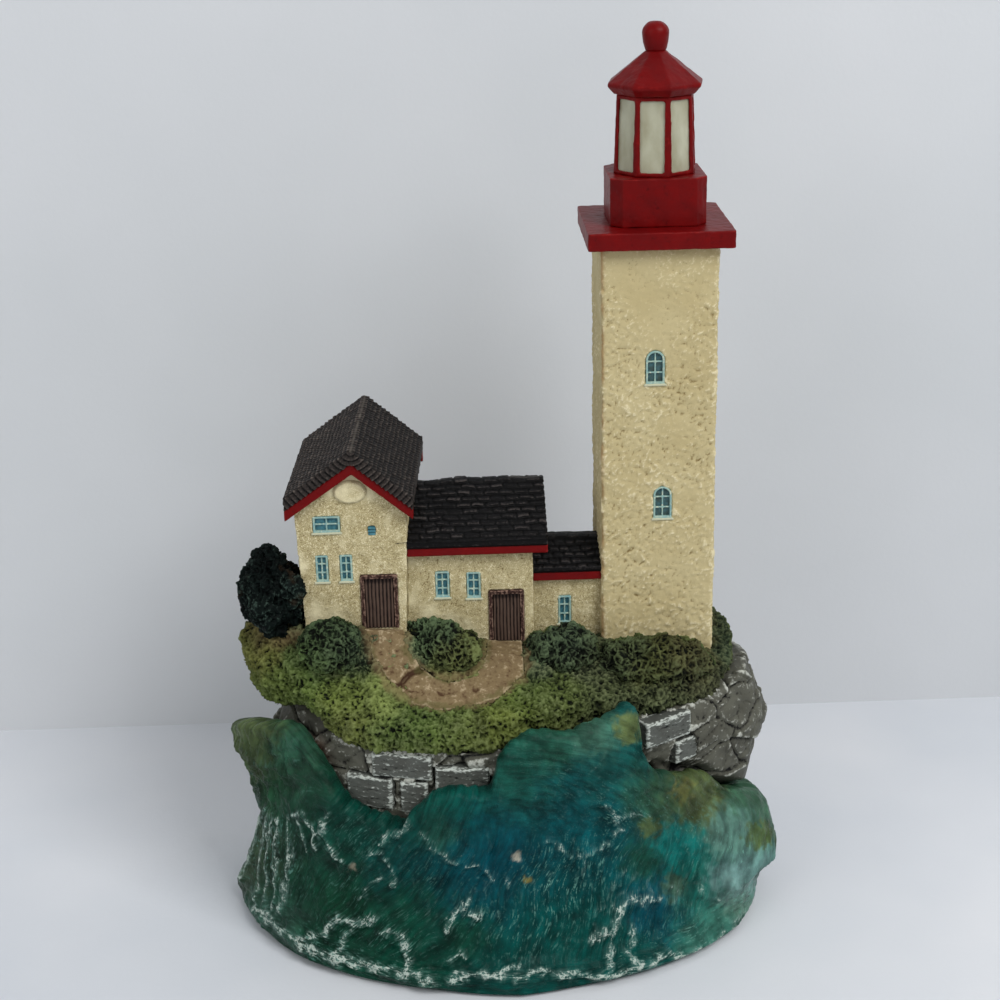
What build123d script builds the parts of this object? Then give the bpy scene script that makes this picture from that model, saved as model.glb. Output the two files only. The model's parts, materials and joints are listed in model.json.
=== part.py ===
from build123d import *
import os
from math import atan2, ceil, cos, degrees, pi, radians, sin

# Lighthouse figurine in cast and painted resin: an island with three joined houses and a square
# tower, seated in the pocket of a translucent wave. Millimetres, +Z up, front towards -Y.
# The origin is on the table, under the middle of the foot.

# Felt and foot
felt_thickness = 1.0
felt_margin = 3.0
foot_half_length = 63.4
foot_half_depth = 45.5
rim_height = 3.5

# Levels of the island, each worked out from the one below it
rock_centre_height = 54.0
turf_rise = 17.5
turf_centre_height = rock_centre_height + turf_rise
crest_over_rock = 11.0
wave_crest_height = rock_centre_height + crest_over_rock
keeper_yard_rise = 4.5
keeper_yard_height = turf_centre_height + keeper_yard_rise
store_yard_drop = 1.2
store_yard_height = turf_centre_height - store_yard_drop
link_yard_drop = 1.9
link_yard_height = turf_centre_height - link_yard_drop
tower_yard_drop = 3.5
tower_yard_height = turf_centre_height - tower_yard_drop
tree_yard_rise = 4.6
tree_foot_height = turf_centre_height + tree_yard_rise

# Wave casting
wave_neck_height = 33.0
wave_neck_half_length = 57.2
wave_neck_half_depth = 39.0
wave_crest_half_length = 59.0
wave_crest_half_depth = 37.5
wave_lip = 1.6
flute_depth = 0.5
flute_count = 24
flute_lean_degrees = 30.0
lobe_reach = 9.6
lobe_angle = 353.0
lobe_half_angle = 42.0
curl_reach = 3.8
curl_angle = 186.0
curl_half_angle = 34.0
plug_depth = 32.0
plug_foot_height = rock_centre_height - plug_depth
pocket_clearance = 0.4
block_proud = 0.8

# Island rock
plug_half_length = 52.2
plug_half_depth = 31.2
crest_gap = 0.5
ledge_rise = 1.5
rock_cover = 3.0
socket_depth = 4.0
socket_clearance = 0.15

# Turf
turf_front_half_depth = 31.0
turf_back_half_depth = 36.0
turf_left_half_length = 57.0
turf_right_half_length = 61.0
brow_front_half_depth = 13.0
brow_back_half_depth = 30.0
brow_half_length = 53.0
path_thickness = 1.4
path_length = 37.0
path_reach = 17.0

# Keeper's house, gable to the front
keeper_front_y = -9.0
keeper_depth = 34.0
keeper_ridge_x = -29.9
keeper_left_eave_x = -43.7
keeper_right_eave_x = -17.9
keeper_foot_taper = 1.6
keeper_footing = 5.5
keeper_foot_height = turf_centre_height - keeper_footing
keeper_wall_height = 31.2
keeper_right_eave_height = keeper_yard_height + keeper_wall_height
keeper_left_eave_rise = 0.4
keeper_left_eave_height = keeper_right_eave_height + keeper_left_eave_rise
keeper_gable_rise = 10.0
keeper_apex_height = keeper_right_eave_height + keeper_gable_rise
keeper_roof_thickness = 3.2
keeper_roof_overhang = 3.0
keeper_left_eave_overhang = 1.7
keeper_right_eave_overhang = 1.5
keeper_ridge_drift = 2.1
keeper_ridge_rise = 1.0
keeper_courses = 14
bargeboard_height = 2.6
bargeboard_setback = 0.5

# Store, the middle house with its eave to the front
store_front_y = -6.0
store_depth = 30.0
store_right_x = 10.5
store_footing = 7.5
store_foot_height = turf_centre_height - store_footing
store_wall_rise = 26.3
store_eave_height = store_yard_height + store_wall_rise
store_roof_rise = 7.3
store_ridge_height = store_eave_height + store_roof_rise
store_roof_thickness = 1.9
store_roof_overhang = 3.0
store_gable_overhang = 3.4
store_courses = 11
fascia_height = 2.1
fascia_setback = 0.3

# Link, the low house between the store and the tower
link_front_y = -2.0
link_depth = 18.0
link_footing = 9.5
link_foot_height = turf_centre_height - link_footing
link_wall_rise = 17.3
link_eave_height = link_yard_height + link_wall_rise
link_roof_rise = 3.4
link_ridge_height = link_eave_height + link_roof_rise
link_roof_thickness = 1.6
link_roof_overhang = 2.0
link_courses = 6

# Shingles
shingle_lift = 0.32

# Tower
tower_width = 26.0
tower_x = 39.6
tower_y = 8.0
tower_rise = 94.7
tower_top_height = tower_yard_height + tower_rise
tower_edge_chamfer = 0.5

# Gallery and lantern
slab_width = 32.2
slab_thickness = 3.9
slab_edge_chamfer = 0.4
pedestal_width = 21.3
pedestal_chamfer = 2.6
pedestal_height = 10.6
lantern_turn = -10.0
lantern_sides = 8
lantern_height = 17.2
lantern_foot_radius = 9.6
lantern_head_radius = 8.9
cage_thickness = 0.6
bar_width = 1.5
cage_foot_band = 0.9
cage_head_band = 1.0
cap_skirt_height = 1.7
cap_skirt_radius = 9.5
cap_rim_radius = 11.0
cap_rim_thickness = 0.6
cap_slope_height = 6.6
cap_neck_radius = 2.4
finial_height = 6.3
finial_neck_radius = 2.2
finial_knob_radius = 2.95
finial_knob_height = 4.0
finial_tip_radius = 0.5

# Pegs moulded on the upper castings
slab_peg_radius = 4.0
slab_peg_length = 4.0
small_peg_radius = 1.2
small_peg_length = 2.0
peg_clearance = 0.15

# Windows, doors and plaster. Their heights on a wall are shares of the wall from its yard up.
keeper_window_width = 2.8
keeper_window_share = 0.205
keeper_wide_window_width = 6.1
keeper_wide_window_share = 0.122
keeper_door_width = 8.5
keeper_door_height_share = 0.426
store_window_width = 3.2
store_window_share = 0.243
store_door_width = 8.2
store_door_height_share = 0.49
link_window_width = 3.0
link_window_share = 0.4
tower_window_width = 4.2
tower_window_height = 7.6
recess_depth = 1.0
frame_width = 0.45
muntin_width = 0.35
pane_depth = 0.35
window_proud = 0.15
sill_height = 0.5
sill_reach = 0.45
door_recess = 0.6
door_thickness = 1.0
door_frame_width = 0.9
door_frame_proud = 0.5
plank_count = 7
plank_groove = 0.3
medallion_length = 7.9
medallion_height = 5.8
medallion_thickness = 0.8
medallion_bevel = 0.6
vent_width = 1.8
vent_height = 2.2
vent_slats = 3

# Places on the walls: shares of the way from the left corner to the right, and for feet and middles
# of the way up from the yard to the eave.
keeper_wide_window_place_share = (0.285, 0.772)
keeper_left_window_place_share = (0.225, 0.385)
keeper_right_window_place_share = (0.44, 0.385)
keeper_vent_place_share = (0.682, 0.737)
keeper_medallion_place_share = (0.506, 1.08)
keeper_door_share = 0.721
store_left_window_place_share = (0.259, 0.441)
store_right_window_place_share = (0.514, 0.426)
store_door_share = 0.778
link_window_place_share = (0.466, 0.173)
tower_upper_window_place_share = (0.463, 0.673)
tower_lower_window_place_share = (0.537, 0.333)
mitre_share = 0.5

# Planting
tree_x = -49.8
tree_y = -6.0
tree_radius = 7.9
tree_height = 20.2
tree_stem_radius = 2.0
tree_stem_depth = 3.0

# Quay stones
course_height = 6.2
stone_length = 14.0
stone_depth = 4.0
stone_arris = 0.45
right_quay_share = 1.06

# Beyond the material's edge, for every cut
overrun = 5.0

# The crest of the wave round the foot: angle in degrees, anticlockwise from the right-hand end,
# and height as a share of the crest height.
crest_shares = [
    (0, 0.40), (12, 0.37), (25, 0.38), (45, 0.47), (62, 0.53), (80, 0.46), (96, 0.50), (112, 0.56),
    (130, 0.50), (148, 0.55), (164, 0.66), (180, 0.75), (190, 0.80), (198, 0.84), (206, 0.86),
    (212, 0.885), (215, 0.89), (218.2, 0.865), (221, 0.83), (223.5, 0.80), (226, 0.755), (229, 0.70),
    (232, 0.652), (238, 0.622), (244, 0.603), (248, 0.59), (251, 0.64), (254.7, 0.71), (259, 0.735),
    (266, 0.727), (269, 0.745), (270.8, 0.845), (273.3, 0.895), (278, 0.938), (282, 0.948),
    (286.6, 0.918), (290.5, 0.932), (295.3, 0.947), (299, 0.968), (302.6, 1.0), (303.8, 0.92),
    (305, 0.83), (307.3, 0.755), (310.2, 0.71), (320, 0.66), (329, 0.637), (336.4, 0.555), (343, 0.50),
    (350, 0.455),
]
# How the sides of the wave draw in and flare: share of the way up to the neck, or of the way from
# the neck to the crest height, and share of the change of outline made there.
foot_flare_shares = [(0.0, 0.0), (0.1, 0.05), (0.25, 0.38), (0.5, 0.72), (0.75, 0.93), (1.0, 1.0)]
wave_level_shares = [0.0, 0.12, 0.26, 0.4, 0.54, 0.68, 0.8, 0.9, 1.0]
# Outline of the foot: angle, and reach as a share of its ellipse.
foot_plan_shares = [
    (0, 1.015), (160, 1.0), (183, 0.99), (193, 0.972), (204, 0.958), (219, 0.97), (237, 0.977),
    (249, 0.985), (259, 1.0), (274, 1.045), (285, 1.022), (308, 1.025), (330, 1.032), (347, 1.022),
]
# Profiles of the right-hand lobe, which overhangs a notch, and of the left-hand curl over its neck:
# height as a share of the neck's or of the crest's, and share of the reach.
lobe_profile_shares = [
    (0.0, 0.0), (0.15, 0.07), (0.27, 0.45), (0.38, 0.92), (0.46, 1.0), (0.66, 0.97), (0.79, 0.78),
    (0.9, 0.38), (1.0, 0.0),
]
curl_profile_shares = [
    (0.0, 0.0), (0.2, -0.1), (0.31, -0.3), (0.4, -0.53), (0.44, -0.1), (0.49, 0.22), (0.62, 0.18),
    (0.66, 0.72), (0.71, 1.0), (1.0, 1.0),
]
# Rim of the rock: angle, height over the rock's centre as a share of the rock cover, and outline
# as shares of the plug at the foot of the overhang, its belly and its rim.
rim_shares = [
    (0, 2.5, 1.19, 1.27, 1.17), (20, 1.6, 1.10, 1.24, 1.22), (34, 1.0, 1.10, 1.28, 1.28),
    (50, 0.7, 1.08, 1.22, 1.24), (90, 0.4, 1.04, 1.10, 1.14), (130, 0.4, 1.05, 1.13, 1.16),
    (150, 0.6, 1.03, 1.08, 1.10), (165, 0.8, 1.0, 1.0, 1.0), (180, 1.0, 0.98, 0.94, 0.92),
    (200, 1.1, 0.95, 0.92, 0.90), (217, 1.1, 0.96, 0.95, 0.93), (226, 0.2, 0.99, 0.99, 0.98),
    (235, 0.0, 1.0, 1.0, 1.0), (268, 0.0, 1.0, 1.0, 1.0), (280, 0.7, 0.98, 0.98, 0.98),
    (305, 1.2, 0.98, 0.98, 0.97), (312, 1.2, 1.02, 1.03, 1.0), (325, 1.3, 1.07, 1.09, 1.05),
    (340, 1.7, 1.14, 1.19, 1.12), (350, 2.3, 1.18, 1.25, 1.17),
]
seat_share = 0.95
belly_share_up = 0.6
# The flutes are deepest at this share of the crest height, and run out as far above and below it.
flute_middle_share = 0.35
# Turf: angle, heights of its lip, shoulder and brow over the rock's centre as shares of the rise
# to the turf's centre, and the flare of the lip and shoulder as shares of the turf's outline.
turf_shares = [
    (0, 0.42, 0.66, 0.70, 0.94, 0.95), (20, 0.35, 0.70, 0.80, 0.96, 0.99),
    (60, 0.25, 0.66, 0.86, 0.97, 1.0), (90, 0.22, 0.62, 0.94, 0.97, 1.0),
    (125, 0.22, 0.66, 1.12, 0.97, 1.0), (160, 0.24, 0.82, 1.20, 0.97, 1.02),
    (180, 0.23, 0.94, 1.23, 0.97, 1.03), (196, 0.25, 0.84, 1.24, 0.97, 1.02),
    (207, 0.36, 0.76, 1.26, 0.96, 0.99), (218, 0.45, 0.68, 1.27, 0.92, 0.98),
    (226, 0.15, 0.46, 1.28, 0.96, 1.0), (235, 0.04, 0.33, 1.30, 1.0, 1.01),
    (246, 0.04, 0.31, 1.27, 1.03, 1.02), (257, 0.06, 0.33, 1.02, 1.04, 1.02),
    (269, 0.09, 0.38, 0.92, 1.02, 1.0), (281, 0.26, 0.47, 0.89, 0.95, 0.95),
    (293, 0.40, 0.56, 0.86, 0.92, 0.92), (305, 0.40, 0.56, 0.84, 0.91, 0.92),
    (318, 0.30, 0.52, 0.82, 0.95, 0.96), (330, 0.26, 0.50, 0.80, 0.96, 0.97),
    (345, 0.36, 0.56, 0.74, 0.95, 0.95),
]
turf_back_power = 2.8


def along(table, angle, column):
    """Value of one column of an angle table, straight between its rows and closed round."""
    rows = [*table, (table[0][0] + 360, *table[0][1:])]
    for low, high in zip(rows, rows[1:]):
        if low[0] <= angle <= high[0]:
            share = (angle - low[0]) / (high[0] - low[0])
            return low[column] + share * (high[column] - low[column])
    return rows[0][column]


def eased(table, share):
    """Value of a two-column table of shares at a share from 0 to 1."""
    for low, high in zip(table, table[1:]):
        if share <= high[0]:
            return low[1] + (share - low[0]) / (high[0] - low[0]) * (high[1] - low[1])
    return table[-1][1]


def bump(distance, reach):
    """A smooth hump: 1 at no distance, 0 from the reach on."""
    share = min(abs(distance) / reach, 1.0)
    return (1 + cos(pi * share)) / 2


def columns(table, step):
    """The table's own angles, with even ones put in wherever two lie more than a step apart."""
    starts = [row[0] for row in table]
    ends = [*starts[1:], starts[0] + 360]
    found = []
    for start, end in zip(starts, ends):
        parts = max(1, ceil((end - start) / step))
        found += [start + (end - start) * i / parts for i in range(parts)]
    return found


def faceted(rings, bottom_hub=None, top_hub=None):
    """A closed solid of triangles between rings of points. An end closes flat, or round its hub."""

    def triangle(*points):
        return Face(Wire.make_polygon([Vector(*p) for p in points], close=True))

    count = len(rings[0])
    faces = []
    for low, high in zip(rings, rings[1:]):
        for i in range(count):
            j = (i + 1) % count
            faces.append(triangle(low[i], low[j], high[j]))
            faces.append(triangle(low[i], high[j], high[i]))
    for ring, hub in ((rings[0], bottom_hub), (rings[-1], top_hub)):
        if hub is None:
            faces.append(triangle(*ring))
        else:
            faces += [triangle(ring[i], ring[(i + 1) % count], hub) for i in range(count)]
    return Solid(Shell(faces))


def save(shape, node):
    """Writes one node's solids as its own file."""
    export_step(shape, f"parts/{node}.step")


def group(solids):
    """Separate solids that share a node."""
    return Compound(children=list(solids))


def prism(points, plane, depth):
    """An outline on a plane, pushed along the plane's normal."""
    return extrude(plane * Polygon(*points, align=None), amount=depth, dir=plane.z_dir)


def crest_at(angle):
    return wave_crest_height * along(crest_shares, angle, 1)


def wave_half_sizes(height):
    """Half length and half depth of the wave's outline at a height."""
    if height <= wave_neck_height:
        rise = max(height - felt_thickness, 0) / (wave_neck_height - felt_thickness)
        share = eased(foot_flare_shares, rise)
        return (
            foot_half_length + share * (wave_neck_half_length - foot_half_length),
            foot_half_depth + share * (wave_neck_half_depth - foot_half_depth),
        )
    share = (height - wave_neck_height) / (wave_crest_height - wave_neck_height)
    return (
        wave_neck_half_length + share * (wave_crest_half_length - wave_neck_half_length),
        wave_neck_half_depth + share * (wave_crest_half_depth - wave_neck_half_depth),
    )


def turned_from(angle, middle):
    """Degrees from a middle angle, from -180 to 180."""
    return (angle - middle + 180) % 360 - 180


def wave_point(angle, height, inset=0.0):
    """A point on the outside of the wave, with its foot's outline, flutes, lobe and curl."""
    half_length, half_depth = wave_half_sizes(height)
    flare = (half_length - wave_neck_half_length) / (foot_half_length - wave_neck_half_length)
    plan = 1 + (along(foot_plan_shares, angle, 1) - 1) * min(max(flare, 0), 1)
    half_length, half_depth = half_length * plan, half_depth * plan
    rise = (height - felt_thickness) / wave_crest_height
    flute = flute_depth * sin(radians(flute_count * angle + flute_lean_degrees * flute_count * rise))
    flute *= bump(rise - flute_middle_share, flute_middle_share)
    lobe = lobe_reach * bump(turned_from(angle, lobe_angle), lobe_half_angle)
    lobe *= eased(lobe_profile_shares, height / wave_neck_height)
    curl = curl_reach * bump(turned_from(angle, curl_angle), curl_half_angle)
    curl *= eased(curl_profile_shares, height / wave_crest_height)
    reach = flute + lobe + curl - inset
    return ((half_length + reach) * cos(radians(angle)), (half_depth + reach) * sin(radians(angle)), height)


def sea_casting():
    """The wave: up its fluted outside, over the crest and down to the pocket's floor."""
    angles = columns(crest_shares, 6)
    rings = []
    for level in wave_level_shares:
        ring = []
        for angle in angles:
            low = felt_thickness + (rim_height if level > 0 else 0)
            high = crest_at(angle) - wave_lip
            share = (level - wave_level_shares[1]) / (1 - wave_level_shares[1]) if level > 0 else 0
            ring.append(wave_point(angle, low + share * (high - low)))
        rings.append(ring)
    pocket_half_length = plug_half_length + block_proud + pocket_clearance
    pocket_half_depth = plug_half_depth + block_proud + pocket_clearance

    def pocket_ring(height_at, out=0.0):
        return [
            (
                (pocket_half_length + out) * cos(radians(angle)),
                (pocket_half_depth + out) * sin(radians(angle)),
                height_at(angle),
            )
            for angle in angles
        ]

    crest = []
    for angle, outside, inside in zip(angles, rings[-1], pocket_ring(crest_at)):
        crest.append(((outside[0] + inside[0]) / 2, (outside[1] + inside[1]) / 2, crest_at(angle)))
    rings.append(crest)
    rings.append(pocket_ring(lambda angle: crest_at(angle) - wave_lip))
    rings.append(pocket_ring(lambda angle: plug_foot_height))
    return faceted(rings)


def plug_point(angle, share, height):
    return (
        plug_half_length * share * cos(radians(angle)),
        plug_half_depth * share * sin(radians(angle)),
        height,
    )


def rim_height_at(angle):
    return rock_centre_height + rock_cover * along(rim_shares, angle, 1)


def seat_ring():
    """Where the rock ends and the turf begins. Both pieces share it."""
    return [
        plug_point(angle, along(rim_shares, angle, 4) * seat_share, rim_height_at(angle))
        for angle in columns(rim_shares, 8)
    ]


def island_rock():
    """The plug in the pocket, and above the crest its overhang, belly and rim."""
    floor, shelf, ledge, belly, rim = [], [], [], [], []
    for angle in columns(rim_shares, 8):
        top = rim_height_at(angle)
        start = min(crest_at(angle) + crest_gap, top - rock_cover - ledge_rise)
        floor.append(plug_point(angle, 1, plug_foot_height))
        shelf.append(plug_point(angle, 1, start))
        hidden = crest_at(angle) + crest_gap > start
        ledge_share = min(along(rim_shares, angle, 2), 1) if hidden else along(rim_shares, angle, 2)
        ledge.append(plug_point(angle, ledge_share, start + ledge_rise))
        belly_height = start + ledge_rise + (top - start - ledge_rise) * belly_share_up
        belly_share = min(along(rim_shares, angle, 3), 1) if hidden else along(rim_shares, angle, 3)
        belly.append(plug_point(angle, belly_share, belly_height))
        rim.append(plug_point(angle, along(rim_shares, angle, 4), top))
    return faceted([floor, shelf, ledge, belly, rim, seat_ring()], top_hub=(0, 0, rock_centre_height))


def turf_point(angle, share, height):
    """A point on the turf's outline, rounder in front and squarer behind."""
    across, deep = cos(radians(angle)), sin(radians(angle))
    half_length = turf_right_half_length if across > 0 else turf_left_half_length
    if deep > 0:
        power = 2 / turf_back_power
        x = half_length * abs(across) ** power * (1 if across > 0 else -1)
        y = turf_back_half_depth * deep**power
    else:
        x, y = half_length * across, turf_front_half_depth * deep
    return (x * share, y * share, height)


def turf_body():
    """The turf before the houses, the path and the planting are let into it."""
    lip, shoulder, brow = [], [], []
    rise = turf_centre_height - rock_centre_height
    for angle in columns(rim_shares, 8):
        lip_height = rock_centre_height + rise * along(turf_shares, angle, 1)
        lip_height = max(lip_height, rim_height_at(angle) + crest_gap)
        shoulder_height = rock_centre_height + rise * along(turf_shares, angle, 2)
        brow_height = rock_centre_height + rise * along(turf_shares, angle, 3)
        lip.append(turf_point(angle, along(turf_shares, angle, 4), lip_height))
        shoulder_height = max(shoulder_height, lip_height + ledge_rise)
        shoulder.append(turf_point(angle, along(turf_shares, angle, 5), shoulder_height))
        across, deep = cos(radians(angle)), sin(radians(angle))
        half_depth = brow_back_half_depth if deep > 0 else brow_front_half_depth
        power = 2 / turf_back_power if deep > 0 else 1
        brow.append(
            (
                brow_half_length * abs(across) ** power * (1 if across > 0 else -1),
                half_depth * abs(deep) ** power * (1 if deep > 0 else -1),
                brow_height,
            )
        )
    hub = (0, 0, rock_centre_height)
    return faceted([seat_ring(), lip, shoulder, brow], hub, (0, 0, turf_centre_height))


# Quay stones: angle on the rock's outline, height over the rock's centre in courses, and length and
# tallness as shares of a whole stone.
front_stone_shares = [
    (246.4, -0.58, 1.0, 0.97), (262.0, -1.02, 0.88, 1.0), (237.0, -1.78, 0.80, 1.3),
    (249.5, -1.84, 0.46, 1.25),
]
right_stone_shares = [
    (316.5, 0.06, 0.93, 1.0), (324.0, -1.06, 0.5, 0.9), (333.5, -0.71, 0.25, 1.7), (334.5, 0.48, 0.37, 0.42),
]
# Bushes: name, place as shares of the turf's length, depth and rise, size in tree radii, and the turn
# of its long way in degrees.
bush_shares = [
    ("bush_door", -0.65, -0.50, 1.19, 0.88, 0.76, 0.76, -8),
    ("bush_mound", -0.20, -0.38, 1.05, 1.38, 0.64, 0.70, -34),
    ("hedge_link", 0.30, -0.33, 0.845, 1.08, 0.91, 0.76, -4),
    ("hedge_tower", 0.665, -0.45, 0.755, 1.72, 0.84, 0.80, -3),
]
# How far a bush's leaves stand out from its egg shape, as a share of its size.
leaf_share = 0.07
leaf_ripple_share = 0.6
crown_leaf_share = 0.1
# Plan of the sand path: shares of its length along X from the keeper's door, and of its reach
# towards the front.
path_plan_shares = [
    (0.0, 0.35), (0.0, -0.05), (0.06, -0.38), (0.16, -0.62), (0.30, -0.88), (0.46, -1.0), (0.66, -0.98),
    (0.86, -0.84), (1.0, -0.50), (1.0, 0.35), (0.78, 0.35), (0.77, -0.20), (0.70, -0.52), (0.56, -0.64),
    (0.42, -0.56), (0.30, -0.32), (0.26, 0.0), (0.24, 0.35),
]


def path_prism(start_x, start_y):
    points = [(start_x + path_length * u, start_y + path_reach * v) for u, v in path_plan_shares]
    height = tree_foot_height + overrun
    return prism(points, Plane.XY.offset(rock_centre_height), height - rock_centre_height)


def lump(centre, sizes, share, turn=0, rows=5, count=14, lumps=6):
    """A leafy mound: an uneven closed egg of flat faces, turned about its upright."""
    rings = []
    for row in range(1, rows + 1):
        tilt = pi * row / (rows + 1)
        ring = []
        for i in range(count):
            angle = 2 * pi * (i + (row % 2) / 2) / count
            ripple = sin(lumps * angle + row) + leaf_ripple_share * cos((lumps + 2) * angle - 2 * row)
            swell = 1 + share * ripple
            ring.append(
                (
                    sizes[0] * sin(tilt) * cos(angle) * swell,
                    sizes[1] * sin(tilt) * sin(angle) * swell,
                    -sizes[2] * cos(tilt),
                )
            )
        rings.append(ring)
    egg = faceted(rings, (0, 0, -sizes[2]), (0, 0, sizes[2]))
    return Pos(*centre) * Rot(0, 0, turn) * egg


def quay(stones, share):
    """Dressed stones let into the rock's face, square to its outline, with chamfered arrises."""
    blocks = []
    for angle, rise, long, tall in stones:
        height = rock_centre_height + course_height * rise
        x, y, z = plug_point(angle, share, height)
        slope = degrees(atan2(plug_half_depth * cos(radians(angle)), -plug_half_length * sin(radians(angle))))
        stone = Box(stone_length * long, stone_depth, course_height * tall)
        stone = chamfer(stone.faces().sort_by(Axis.Y)[-1].edges(), stone_arris)
        stone = Pos(0, block_proud - stone_depth / 2, 0) * stone
        blocks.append(Pos(x, y, z) * Rot(0, 0, slope + 180) * stone)
    return blocks


def stepped(start, end, courses, lift):
    """Points up a roof slope from eave to ridge, a butt edge for each course of shingles."""
    run = Vector(*end) - Vector(*start)
    side = Vector(-run.Y, run.X) if run.X > 0 else Vector(run.Y, -run.X)
    side = side.normalized() * lift
    points = []
    for course in range(courses):
        low = Vector(*start) + run * (course / courses)
        points += [(low.X, low.Y), (low.X + side.X, low.Y + side.Y)]
    return [*points, end]


def facing_front(y):
    """Plane whose X and Y are the object's X and Z, at a depth, with its normal to the back."""
    return Plane(origin=(0, y, 0), x_dir=(1, 0, 0), z_dir=(0, -1, 0))


def facing_side(x):
    """Plane whose X and Y are the object's Y and Z, with its normal to the right."""
    return Plane(origin=(x, 0, 0), x_dir=(0, 1, 0), z_dir=(1, 0, 0))


def push_back(points, y, depth):
    """An outline in X and Z, from a front plane towards the back."""
    return extrude(facing_front(y) * Polygon(*points, align=None), amount=depth, dir=(0, 1, 0))


def on_wall(shares, left, right, yard, eave):
    """X and Z of a place given in shares of a wall."""
    return left + (right - left) * shares[0], yard + (eave - yard) * shares[1]


class Opening:
    """One window or door: its place in the wall and the pieces that fill it."""

    def __init__(self, x, foot, width, height, front_y, arched=False, bars_across=1):
        self.x, self.foot, self.width, self.height = x, foot, width, height
        self.front_y, self.arched, self.bars_across = front_y, arched, bars_across

    def outline(self, inset=0.0):
        """Face of the opening, drawn in by an inset, with a round head where it has an arch."""
        width = self.width - 2 * inset
        height = self.height - 2 * inset
        if not self.arched:
            face = Rectangle(width, height, align=(Align.CENTER, Align.MIN))
        else:
            straight = height - width / 2
            body = Rectangle(width, straight, align=(Align.CENTER, Align.MIN))
            face = body + Pos(0, straight) * Circle(width / 2)
        return Pos(self.x, self.foot + inset) * face

    def cut(self):
        """The recess in the wall, with its mouth run out past the wall's face."""
        back = facing_front(self.front_y + recess_depth)
        return extrude(back * self.outline(), amount=recess_depth + overrun)

    def pane(self):
        return extrude(facing_front(self.front_y + recess_depth) * self.outline(), amount=pane_depth)

    def frame(self):
        """Frame, glazing bars and sill in one piece, seated on the pane."""
        seat = self.front_y + recess_depth - pane_depth
        ring = self.outline() - self.outline(frame_width)
        depth = recess_depth - pane_depth + window_proud
        middle = self.foot + self.height / 2
        bars = [Pos(self.x, middle) * Rectangle(muntin_width, self.height - frame_width)]
        for i in range(self.bars_across):
            height = self.foot + self.height * (i + 1) / (self.bars_across + 1)
            bars.append(Pos(self.x, height) * Rectangle(self.width - frame_width, muntin_width))
        solid = extrude(facing_front(seat) * ring, amount=depth)
        for bar in bars:
            solid += extrude(facing_front(seat) * bar, amount=depth - window_proud - muntin_width / 2)
        sill = Pos(self.x, self.foot) * Rectangle(
            self.width + 2 * sill_reach, sill_height, align=(Align.CENTER, Align.MAX)
        )
        return solid, extrude(facing_front(self.front_y) * sill, amount=sill_reach)


def glazing(openings):
    """Frames with their sills, and panes, for a wall's windows."""
    frames, panes = [], []
    for opening in openings:
        frame, sill = opening.frame()
        frames += [frame, sill]
        panes.append(opening.pane())
    return frames, panes


def plank_door(x, foot, width, height, front_y):
    """The recess, the planked leaf and its mitred frame."""
    inner = width - 2 * door_frame_width
    plank = inner / plank_count
    back = front_y + door_recess
    points = [(x - inner / 2, back), (x - inner / 2, back - door_thickness)]
    for i in range(1, plank_count):
        edge = x - inner / 2 + plank * i
        points += [
            (edge - plank_groove / 2, back - door_thickness),
            (edge, back - door_thickness + plank_groove),
            (edge + plank_groove / 2, back - door_thickness),
        ]
    points += [(x + inner / 2, back - door_thickness), (x + inner / 2, back)]
    leaf = prism(points, Plane.XY.offset(foot), height - door_frame_width)
    left, right, top = x - width / 2, x + width / 2, foot + height
    whole = [(left, foot), (left, top), (right, top), (right, foot)]
    mouth = [
        (x + inner / 2, foot), (x + inner / 2, top - door_frame_width),
        (x - inner / 2, top - door_frame_width), (x - inner / 2, foot),
    ]
    frame = push_back([*whole, *mouth], front_y - door_frame_proud, door_frame_proud + door_recess)
    mitre = door_frame_width * mitre_share
    for side in (-1, 1):
        corner = x + side * width / 2
        notch = [(corner, top), (corner - side * mitre, top), (corner, top - mitre)]
        if side > 0:
            notch.reverse()
        frame -= push_back(notch, front_y - door_frame_proud, door_frame_proud)
    return push_back(whole, front_y - overrun, overrun + door_recess), leaf, frame


def slatted_vent(opening):
    """A small louvre that fills its opening, with a slope to the front for each slat."""
    back = opening.front_y + recess_depth
    slat = opening.height / vent_slats
    points = [(back, opening.foot)]
    for i in range(vent_slats):
        foot = opening.foot + slat * i
        points += [(opening.front_y, foot), (back - pane_depth, foot + slat)]
    points.append((back, opening.foot + opening.height))
    return prism(points, facing_side(opening.x - opening.width / 2), opening.width)


def plaster_oval(x, height, front_y):
    """The bare oval of plaster in the gable, with a sloping edge."""

    def oval(y, inset):
        shape = Ellipse(medallion_length / 2 - inset, medallion_height / 2 - inset)
        return facing_front(y) * Pos(x, height) * shape

    back = oval(front_y, 0).face()
    front = oval(front_y - medallion_thickness, medallion_bevel).face()
    return loft([back, front], ruled=True)


def ridge_direction():
    """The keeper's ridge drifts to the right and up towards the back."""
    return Vector(keeper_ridge_drift, keeper_depth + 2 * keeper_roof_overhang, keeper_ridge_rise)


def run_back(points, y, depth):
    """An outline in X and Z, run back along the keeper's ridge. Its start is moved to suit y."""
    way = ridge_direction()
    share = (y - keeper_front_y) / way.Y
    face = facing_front(y) * Polygon(*points, align=None)
    face = Location((way.X * share, 0, way.Z * share)) * face
    return extrude(face, amount=depth / way.normalized().Y, dir=way.normalized())


def keeper_gable(drop=0.0):
    """Left eave, apex and right eave of the wall's gable, lowered by a drop."""
    return [
        (keeper_left_eave_x, keeper_left_eave_height - drop),
        (keeper_ridge_x, keeper_apex_height - drop),
        (keeper_right_eave_x, keeper_right_eave_height - drop),
    ]


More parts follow.
